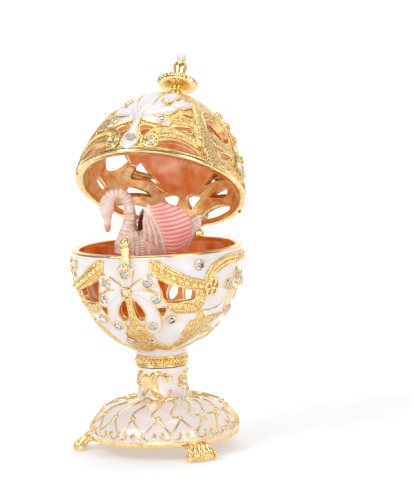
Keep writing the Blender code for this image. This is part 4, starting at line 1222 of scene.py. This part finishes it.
def paw(shape, azimuth):
    """A fluted leg in an S curve that ends in a row of granulated toes."""
    turn = math.radians(azimuth)
    outward = Vector((math.sin(turn), -math.cos(turn), 0.0))
    across = Vector((math.cos(turn), math.sin(turn), 0.0))

    def at(reach, aside, height):
        return outward * reach * MM + across * aside * MM + Vector((0.0, 0.0, max(height, 0.0) * MM))

    rings = []
    for reach, height, half, tall in smooth_path(PAW_STATIONS, False, 5):
        ring = []
        for index in range(40):
            angle = 2 * math.pi * index / 40
            wide = math.copysign(abs(math.cos(angle)) ** 0.7, math.cos(angle))
            ring.append(at(reach, wide * half, height + math.sin(angle) * tall))
        rings.append(ring)
    shape.loft(rings, 0)
    for index in range(5):
        line = smooth_path(FLUTE_LINE, False, 6)
        path = [at(reach, (index - 2.0) * pitch, height) for reach, pitch, height in line]
        tube(shape, path, [outward] * len(path), lambda part: (0.56 + 0.2 * part) * MM, 10)
    for index in range(6):
        aside = (index - 2.5) * 1.66
        centre = at(28.2 - 0.065 * aside ** 2, aside * 0.96, 1.55)
        bead(shape, centre, 1.48 * MM, 0, 20, 12, across, 0.75)
        for row in range(6):
            angle = math.radians(-50 + 32 * row)
            for step in (-0.55, 0.0, 0.55) if row % 2 else (-0.3, 0.3):
                spoke = outward * math.cos(angle) + Vector((0.0, 0.0, math.sin(angle)))
                rim = centre + spoke * (1.42 - 0.25 * abs(step)) * MM
                bead(shape, rim + across * step * MM, 0.34 * MM, 0, 8, 5)
    for index in range(5):
        aside = (index - 2.0) * 1.66
        bead(shape, at(28.0 - 0.05 * aside ** 2, aside, 2.15), 0.82 * MM, 0, 14, 8)
    for side in HALF_MIRROR:
        points = []
        for step in range(30):
            angle = math.radians(-120 + 21 * step)
            radius = 1.35 - 0.95 * step / 29
            points.append(at(27.9 + radius * math.cos(angle), side * (4.3 + 0.3 * step / 29),
                1.75 + radius * math.sin(angle)))
        tube(shape, points, [across] * len(points), 0.4 * MM, 8)
        edge = [at(reach, side * aside, height) for reach, aside, height in
                smooth_path([(24.0, 3.4, 4.5), (25.4, 3.6, 4.2), (26.7, 3.9, 3.0), (27.5, 4.3, 2.1)],
                False, 5)]
        tube(shape, edge, [across] * len(edge), 0.42 * MM, 8)


def make_feet():
    shape = Shape("paws", "box", "polished_gilt", [GOLD])
    for index in range(3):
        paw(shape, 44.0 + 120.0 * index)
    shape.done()


# Finial, clasp, post and hinge

FINIAL_FOOT = [(0.02, 0.0), (1.5, 0.0), (2.4, 0.05), (2.5, 0.10), (2.0, 0.16), (1.7, 0.19), (2.1, 0.22),
    (2.2, 0.26)]
FINIAL_COLUMN = [(1.5, 0.44), (1.4, 0.50), (1.45, 0.58), (1.7, 0.68), (2.0, 0.77), (2.1, 0.84),
    (1.95, 0.89), (1.6, 0.92), (1.5, 0.955), (0.02, 0.96)]
SAUCER_ROWS = [
    (0.28, 0.205, 0.0), (0.50, 0.215, 0.0), (0.74, 0.25, 0.1), (0.91, 0.315, 0.5), (1.0, 0.40, 1.0),
    (0.985, 0.43, 1.0), (0.90, 0.435, 0.9), (0.80, 0.40, 0.4), (0.55, 0.37, 0.0), (0.24, 0.36, 0.0),
]
FINIAL_HEIGHT = 14.0 * MM
SAUCER_RADIUS = 6.75 * MM
SHOWN_PEARL_RADIUS = 1.65 * MM


def make_finial():
    base = LID_BOTTOM + LID_HEIGHT + SEAT_GAP
    shape = Shape("finial_turned", "lid", "polished_gilt", [GOLD, GRAIN], hides=("finial",))
    for rows in (FINIAL_FOOT, FINIAL_COLUMN):
        shape.loft(turned([(radius * MM, base + FINIAL_HEIGHT * share) for radius, share in rows], 48),
            0, caps=False)
    rings = []
    for radius_share, height_share, wave in SAUCER_ROWS:
        ring = []
        for index in range(144):
            angle = 2 * math.pi * index / 144
            ripple = 1.0 - 0.07 * wave * (1.0 - abs(math.sin(12 * angle)) ** 0.7)
            radius = SAUCER_RADIUS * radius_share * ripple
            ring.append(Vector((radius * math.cos(angle), radius * math.sin(angle),
                base + FINIAL_HEIGHT * height_share)))
        rings.append(ring)
    shape.loft(rings, 0)
    for index in range(24):
        angle = 2 * math.pi * (index + 0.5) / 24
        place = Vector((0.955 * SAUCER_RADIUS * math.cos(angle),
            0.955 * SAUCER_RADIUS * math.sin(angle), base + FINIAL_HEIGHT * 0.41))
        bead(shape, place, 0.46 * MM, 0, 10, 6)
    for index in range(10):
        angle = 2 * math.pi * index / 10
        side = Vector((math.cos(angle), math.sin(angle), 0.0))
        path = [side * (radius + 0.05) * MM + Vector((0.0, 0.0, base + FINIAL_HEIGHT * share))
            for radius, share in FINIAL_COLUMN[1:7]]
        tube(shape, path, [side] * len(path), 0.2 * MM, 6)
        bead(shape, side * 1.75 * MM + Vector((0.0, 0.0, base + FINIAL_HEIGHT * 0.915)), 0.34 * MM, 0,
            8, 5)
    shape.done(50)
    top = Shape("pearl_top", "lid", "pearl", [PEARL], hides=("finial_pearl",))
    bead(top, Vector((0.0, 0.0, base + FINIAL_HEIGHT * 0.955 + SHOWN_PEARL_RADIUS)), SHOWN_PEARL_RADIUS,
        0, 40, 24)
    top.done()


CLASP_ROWS = [(-3.6, 0.5, 0.9), (-2.6, 1.15, 1.2), (-0.8, 1.35, 1.3), (0.8, 1.25, 1.3), (2.0, 1.5, 1.5),
    (2.9, 1.35, 1.5)]


def make_clasp():
    shape = Shape("clasp_tab", "box", "polished_gilt", [GOLD], hides=("clasp",))
    near = -(RIM_RADIUS + SEAT_GAP)
    rings = []
    for height, half, thick in smooth_path(CLASP_ROWS, False, 5):
        ring = []
        for corner in range(18):
            angle = 2 * math.pi * corner / 18
            out = near - (1.0 + math.sin(angle)) * thick * 0.5 * MM
            ring.append(Vector((math.cos(angle) * half * MM, out, RIM_Z + height * MM)))
        rings.append(ring)
    shape.loft(rings)
    bead(shape, Vector((0.35 * MM, near - 1.5 * MM, RIM_Z + 4.2 * MM)), 1.6 * MM, 0, 28, 16)
    bead(shape, Vector((0.35 * MM, near - 1.5 * MM, RIM_Z + 5.75 * MM)), 0.4 * MM, 0, 12, 8)
    bead(shape, Vector((0.0, near - 0.9 * MM, RIM_Z - 3.2 * MM)), 0.95 * MM, 0, 16, 8, squash=1.3)
    shape.done()


def make_post():
    shape = Shape("swan_post", "box", "polished_gilt", [GOLD])
    floor = BOWL_BOTTOM + FLOOR_THICKNESS - 0.2 * MM
    top = RIM_Z + 0.5 * MM - 6.0 * MM - 0.3 * MM
    rows = [(4.4, 0.0), (4.4, 0.8), (3.4, 1.2), (2.4, 2.2), (2.3, 8.0), (2.3, 20.0)]
    profile = [(radius * MM, floor + height * MM) for radius, height in rows]
    profile += [(3.0 * MM, top - 1.2 * MM), (3.2 * MM, top), (0.02 * MM, top)]
    shape.loft(turned(profile, 32), 0, caps=False)
    shape.done(40)


def dress_hinge():
    for name in ("hinge_bowl_leaf", "hinge_lid_leaf", "hinge_pin"):
        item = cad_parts[name]
        for slot in item.material_slots:
            slot.material = GOLD


# Swan

def swan_place(point):
    """From swan space, in mm with the beak along +X, to the egg's axis."""
    x, y, z = point
    return Vector((
        (x * math.cos(SWAN_YAW) - y * math.sin(SWAN_YAW)) * MM,
        (x * math.sin(SWAN_YAW) + y * math.cos(SWAN_YAW)) * MM,
        RIM_Z + (0.5 + z) * MM,
    ))


SWAN_STATIONS = [
    (12.9, 0.2, 0.5, 0.6), (12.3, 0.2, 2.0, 2.2), (10.8, 0.0, 4.0, 4.0), (8.5, -0.2, 4.8, 5.2),
    (5, -0.8, 5.2, 6.0),
    (0, -1.0, 5.0, 6.2), (-5, -0.6, 4.6, 5.4), (-9, 1.0, 3.8, 4.2), (-12, 4.0, 2.6, 3.2),
    (-13.6, 6.4, 1.5, 2.4), (-14.2, 7.4, 0.4, 1.2),
]
SWAN_NECK = [
    (9.4, -2.4, 4.4), (9.3, 0.4, 3.9), (9.0, 3.4, 3.15), (8.5, 6.3, 2.5), (8.2, 9.1, 2.1),
    (8.3, 12.0, 1.9), (8.8, 14.4, 1.8),
    (10.0, 16.1, 1.8), (11.6, 16.8, 1.8), (13.4, 16.4, 1.85), (14.8, 15.0, 2.1), (15.5, 13.2, 2.3),
    (15.6, 11.6, 2.3),
    (15.5, 10.2, 1.9), (15.4, 9.0, 1.45), (15.4, 7.6, 1.2), (15.5, 6.0, 1.05), (15.5, 5.0, 0.85),
    (15.5, 4.4, 0.3),
]
NECK_RING_PITCH = 1.15
BEAK_START = 0.86
# Wing curves, seen from the side, from the bottom up: front edge, start and end of the fluted part
WING_FRONT = [(4.4, -2.8), (4.6, 0.0), (4.5, 2.6), (4.3, 5.4), (4.0, 8.2), (3.2, 11.0), (1.9, 13.2)]
WING_START = [(-3.2, -2.7), (-3.0, 0.0), (-2.4, 2.6), (-1.3, 5.4), (0.2, 8.2), (1.5, 10.8), (2.0, 13.0)]
WING_END = [(-7.2, -2.2), (-9.4, 0.9), (-10.9, 4.0), (-11.1, 7.2), (-9.6, 10.1), (-6.4, 12.4),
    (-1.6, 13.9)]
FLUTES = 13


def curve_at(places, share):
    """Place at a share of a smooth curve through places."""
    reach = min(max(share, 0.0), 1.0) * (len(places) - 1)
    index = min(int(reach), len(places) - 2)
    four = [places[min(max(index + k, 0), len(places) - 1)] for k in (-1, 0, 1, 2)]
    return tuple(spline_value(*(place[k] for place in four), reach - index)
        for k in range(len(places[0])))


def swan_body():
    shape = Shape("swan_body", "box", "swan_enamel", [SWAN_PALE, SWAN_PAINTED_SHADE, SWAN_BEAK],
        hides=("swan",))
    rings = []
    for x, z, tall, half in smooth_path(SWAN_STATIONS, False, 8):
        ring = []
        for corner in range(64):
            angle = 2 * math.pi * corner / 64
            ring.append(swan_place((x, math.cos(angle) * max(half, 0.05),
                z + math.sin(angle) * max(tall, 0.05))))
        rings.append(ring)
    # The body takes the painted shade, which shows between the pale scale feathers.
    shape.loft(rings, 1)
    swan_neck(shape)
    for row in range(11):
        along = 0.03 + 0.042 * row
        for step in range(15):
            angle = math.radians(-62 + 9.4 * (step + 0.5 * (row % 2)))
            x, z, tall, half = curve_at(SWAN_STATIONS, along)
            for side in HALF_MIRROR:
                place = Vector((x, side * math.cos(angle) * half, z + math.sin(angle) * tall))
                outward = Vector((0.25 * (0.4 - along), side * math.cos(angle) / half,
                    math.sin(angle) / tall)).normalized()
                scale_feather(shape, place, outward, Vector((-1.0, 0.0, -0.35)), 1.5, 0.78, step + row)
    for side in HALF_MIRROR:
        for index in range(4):
            start = (-7.5 + 0.3 * index, side * 3.4, 1.2 + 1.5 * index)
            bend = (-11.0, side * 3.1, 3.2 + 1.35 * index)
            tip = (-14.1 - 0.25 * math.sin(index), side * (2.3 - 0.25 * index), 5.6 + 0.95 * index)
            path = [Vector(swan_place(place)) for place in smooth_path([start, bend, tip], False, 8)]
            normal = swan_place((0.0, float(side), 0.0)) - swan_place((0.0, 0.0, 0.0))
            tube(shape, path, [normal.normalized()] * len(path),
                lambda part: (0.30 + 1.35 * part * (1.18 - part)) * MM, 10)
    shape.done()


def swan_neck(shape):
    """Neck, head and beak, with rings along the neck."""
    path = smooth_path(SWAN_NECK, False, 14)
    rings, groove_shade = [], []
    total = 0.0
    for index, (x, z, radius) in enumerate(path):
        before, after = path[max(index - 1, 0)], path[min(index + 1, len(path) - 1)]
        along = Vector((after[0] - before[0], 0.0, after[1] - before[1])).normalized()
        if index:
            total += math.hypot(x - path[index - 1][0], z - path[index - 1][1])
        inward = along.cross(Vector((0.0, 1.0, 0.0)))
        fade = min(1.0, max(0.0, (26.0 - total) / 3.0)) * min(1.0, max(0.0, total - 4.0) / 4.0)
        wave = abs(math.sin(math.pi * total / NECK_RING_PITCH))
        size = radius - 0.22 * fade * (1.0 - wave ** 0.7)
        groove_shade.append(fade > 0.3 and wave < 0.2)
        ring = []
        for corner in range(32):
            angle = 2 * math.pi * corner / 32
            across = math.sin(angle) * size
            ring.append(swan_place((x + inward.x * across, math.cos(angle) * size * 0.95,
                z + inward.z * across)))
        rings.append(ring)
    beak = int(len(rings) * BEAK_START)
    start = len(shape.faces)
    shape.loft(rings[:beak + 1], 0)
    for row in range(beak):
        # Faces in the neck's grooves take the painted shade.
        if groove_shade[row] or groove_shade[row + 1]:
            for column in range(32):
                shape.kinds[start + row * 32 + column] = 1
    shape.loft(rings[beak:], 2)


def scale_feather(shape, place, outward, lie, length, width, seed, kind=0):
    """One small feather on the swan: a flat drop that lies along the body."""
    lie = (lie - outward * lie.dot(outward)).normalized()
    across = outward.cross(lie)
    wobble = 0.25 * math.sin(12.9898 * seed)
    lie = (lie + across * wobble).normalized()
    across = outward.cross(lie)
    rows = [(-0.5, 0.15, 0.10), (-0.3, 0.75, 0.34), (0.0, 1.0, 0.42), (0.3, 0.75, 0.34),
        (0.5, 0.12, 0.16)]
    rings = []
    for share, wide, tall in rows:
        ring = []
        for corner in range(8):
            angle = 2 * math.pi * corner / 8
            point = place + lie * share * length + across * math.cos(angle) * wide * width / 2
            ring.append(swan_place(point + outward * math.sin(angle) * tall * 0.8))
        rings.append(ring)
    shape.loft(rings, kind)


def wing_surface(x, z):
    """Distance out from the middle of the swan's wing at a place seen from the side."""
    reach = ((x + 3.2) / 10.2) ** 2 + ((z - 5.6) / 10.6) ** 2
    return 2.6 + 4.6 * math.sqrt(max(0.0, 1.0 - min(reach, 1.0)))


def wing_place(across, up):
    """Place on a wing seen from the side: across -1 at the front edge, 0 to 1 over the fluted part."""
    start = curve_at(WING_START, up)
    if across < 0.0:
        front = curve_at(WING_FRONT, up)
        return start[0] + (front[0] - start[0]) * -across, start[1] + (front[1] - start[1]) * -across
    end = curve_at(WING_END, up)
    sag = 1.7 - 0.9 * up
    bow = 2.0 * across * (1.0 - across)
    x = start[0] + (end[0] - start[0]) * across
    return x, start[1] + (end[1] - start[1]) * across - bow * sag


def swan_wings():
    # The far wing is set further forward and lower, so its inner side, painted dark as shadow, shows in
    # the gap between the neck and the near wing.
    for side, name, ahead, drop in ((1, "left", 0.0, 0.0), (-1, "right", 1.9, 2.6)):
        shape = Shape(f"swan_wing_{name}", "box", "swan_enamel",
            [SWAN_CORAL, SWAN_FLUTE_SHADE, SWAN_PALE, SWAN_PAINTED_SHADE, SWAN_PAINTED_SHADOW])
        shares = [-1.0, -0.93, -0.8, -0.6, -0.4, -0.2, -0.05] + [step / 22 for step in range(23)]
        rings = []
        fine = FLUTES * 8
        for across in shares:
            ring = []
            swell = min(1.0, max(0.0, across) * 6.0) * (1.0 - 0.35 * max(0.0, across))
            for step in range(fine + 1):
                up = step / fine
                wave = abs(math.sin(math.pi * FLUTES * up)) ** 0.65
                x, z = wing_place(across, up)
                x -= 0.45 * wave * max(0.0, across - 0.9) / 0.1
                edge = min(1.0, (across + 1.0) / 0.12, (1.03 - across) / 0.10, (up + 0.01) / 0.05,
                    (1.01 - up) / 0.05)
                rounding = 0.9 * math.sqrt(max(edge, 0.0))
                out = wing_surface(x, z) - 0.9 + rounding + 0.55 * swell * (wave - 0.5)
                ring.append(swan_place((x + ahead, side * out, z - drop)))
            for step in range(16, -1, -1):
                up = step / 16
                x, z = wing_place(across, up)
                ring.append(swan_place((x * 0.995 + ahead, side * (wing_surface(x, z) - 1.7),
                    z * 0.995 - drop)))
            rings.append(ring)
        count = len(rings[0])
        # Kind 3, painted shade, stays on the wing's front part, where it shows between the pale scale
        # feathers.
        shape.loft(rings, 3)
        for row, across in enumerate(shares[:-1]):
            # The wing's inner side is painted dark as shadow.
            for step in range(fine + 1, count - 1):
                shape.kinds[row * count + step] = 4
            for step in range(fine):
                wave = abs(math.sin(math.pi * FLUTES * (step + 0.5) / fine))
                # The flute valleys and the wing's lowest rows get the deeper coral as painted shade.
                if across > -0.1:
                    shape.kinds[row * count + step] = 1 if wave < 0.22 or step < 5 else 0
        for row in range(16):
            for column in range(4):
                up = 0.02 + 0.062 * row + 0.02 * (column % 2)
                across = -0.9 + 0.26 * column
                if up > 0.9 and column > 1:
                    continue
                x, z = wing_place(across, up)
                out = side * (wing_surface(x, z) + 0.02)
                outward = Vector(((x + 3.2) / 20.0, side * 1.0, (z - 5.6) / 22.0)).normalized()
                scale_feather(shape, Vector((x + ahead, out, z - drop)), outward,
                    Vector((-0.55, 0.0, -1.0)), 1.9, 1.0, row * 5 + column, 2)
        shape.done()


bowl_ornament()
lid_ornament()
stones()
make_collar()
base_ornament()
make_feet()
make_finial()
make_clasp()
make_post()
dress_hinge()
swan_body()
swan_wings()


# Stage, camera and light

FLOOR_HALF = 3.0
FLOOR_ROWS = [(-FLOOR_HALF, 0.0), (0.8, 0.0), (1.0, 0.012), (1.2, 0.06), (1.35, 0.16), (1.42, 0.3),
    (1.45, 2.5)]
# Distances from the object between which the floor's glow rises, and the glow at each
FLOOR_GLOW = (0.08, 0.5, 0.40, 0.66)
# The world's brightness from straight down (0) to straight up (1)
WORLD_STOPS = [(0.0, 0.12), (0.12, 0.18), (0.30, 0.80), (0.5, 1.0), (0.60, 0.26), (0.76, 0.46),
    (1.0, 0.75)]
WORLD_STRENGTH = 0.55
# The camera as solved from the ellipses in the photograph
CAMERA_PLACE = Vector((0.2504, -0.6724, 0.14766))
CAMERA_TURNS = (20.428, -1.269, -6.550, 2.384)
FOCAL_PIXELS = 2257.1
PHOTO_HEIGHT = 488.0
SENSOR_HEIGHT = 36.0


def make_stage():
    mesh = bpy.data.meshes.new("floor")
    points = []
    for y, z in FLOOR_ROWS:
        points += [(-FLOOR_HALF, y, z), (FLOOR_HALF, y, z)]
    faces = []
    for index in range(len(FLOOR_ROWS) - 1):
        faces.append((2 * index, 2 * index + 1, 2 * index + 3, 2 * index + 2))
    mesh.from_pydata(points, [], faces)
    mesh.shade_smooth()
    floor = bpy.data.objects.new("floor", mesh)
    bpy.context.scene.collection.objects.link(floor)
    finish, shader = new_material("floor_white", (0.62, 0.62, 0.63), 0.8)
    shader.inputs["Emission Color"].default_value = (1.0, 1.0, 1.0, 1.0)
    away = finish.node_tree.nodes.new("ShaderNodeVectorMath")
    away.operation = "LENGTH"
    link(finish, object_coords(finish), away.inputs[0])
    glow = node(finish, "ShaderNodeMapRange")
    for place, value in enumerate(FLOOR_GLOW, start=1):
        glow.inputs[place].default_value = value
    link(finish, away.outputs["Value"], glow.inputs["Value"])
    link(finish, glow.outputs["Result"], shader.inputs["Emission Strength"])
    mesh.materials.append(finish)


def make_camera():
    """The camera that the photograph was solved to."""
    place = CAMERA_PLACE + EGG_AXIS
    azimuth, yaw, pitch, roll = (math.radians(v) for v in CAMERA_TURNS)
    ahead = Vector((-math.sin(azimuth), math.cos(azimuth), 0.0))
    right = Vector((math.cos(azimuth), math.sin(azimuth), 0.0))
    up = Vector((0.0, 0.0, 1.0))
    turn = Matrix.Rotation(yaw, 3, up)
    ahead, right = turn @ ahead, turn @ right
    turn = Matrix.Rotation(pitch, 3, right)
    ahead, up = turn @ ahead, turn @ up
    turn = Matrix.Rotation(roll, 3, ahead)
    right, up = turn @ right, turn @ up
    data = bpy.data.cameras.new("camera")
    data.sensor_fit = "VERTICAL"
    data.sensor_height = SENSOR_HEIGHT
    data.lens = FOCAL_PIXELS / PHOTO_HEIGHT * SENSOR_HEIGHT
    data.clip_end = 20.0
    camera = bpy.data.objects.new("camera", data)
    bpy.context.scene.collection.objects.link(camera)
    rotation = Matrix((right, up, -ahead)).transposed().to_4x4()
    camera.matrix_world = Matrix.Translation(place) @ rotation
    bpy.context.scene.camera = camera


def area_light(name, place, target, size, power, colour=(1.0, 1.0, 1.0)):
    data = bpy.data.lights.new(name, "AREA")
    data.shape = "RECTANGLE"
    data.size, data.size_y = size
    data.energy = power
    data.color = colour
    light = bpy.data.objects.new(name, data)
    bpy.context.scene.collection.objects.link(light)
    light.location = place
    light.rotation_euler = (Vector(target) - Vector(place)).to_track_quat("-Z", "Y").to_euler()


def make_world():
    world = bpy.data.worlds.new("studio")
    bpy.context.scene.world = world
    world.use_nodes = True
    tree = world.node_tree
    ground = tree.nodes["Background"]
    coords = tree.nodes.new("ShaderNodeTexCoord")
    split = tree.nodes.new("ShaderNodeSeparateXYZ")
    tree.links.new(coords.outputs["Generated"], split.inputs[0])
    colours = tree.nodes.new("ShaderNodeValToRGB")
    elements = colours.color_ramp.elements
    while len(elements) < len(WORLD_STOPS):
        elements.new(0.5)
    for element, (place, value) in zip(elements, WORLD_STOPS):
        element.position = place
        element.color = (value, value, value, 1.0)
    tree.links.new(split.outputs["Z"], colours.inputs["Fac"])
    tree.links.new(colours.outputs["Color"], ground.inputs["Color"])
    ground.inputs["Strength"].default_value = WORLD_STRENGTH
    bpy.context.scene.view_settings.view_transform = "Standard"


make_stage()
make_camera()
make_world()
area_light("key", (-0.5, -0.7, 0.75), (0, 0, 0.07), (0.45, 0.45), 4.6)
area_light("fill", (0.75, -0.45, 0.4), (0, 0, 0.07), (0.4, 0.6), 2.2)
area_light("low", (0.12, -0.75, 0.05), (0, 0, 0.10), (0.5, 0.12), 0.7)
area_light("top", (0.0, 0.1, 1.0), (0, 0, 0.05), (0.6, 0.6), 3.0)
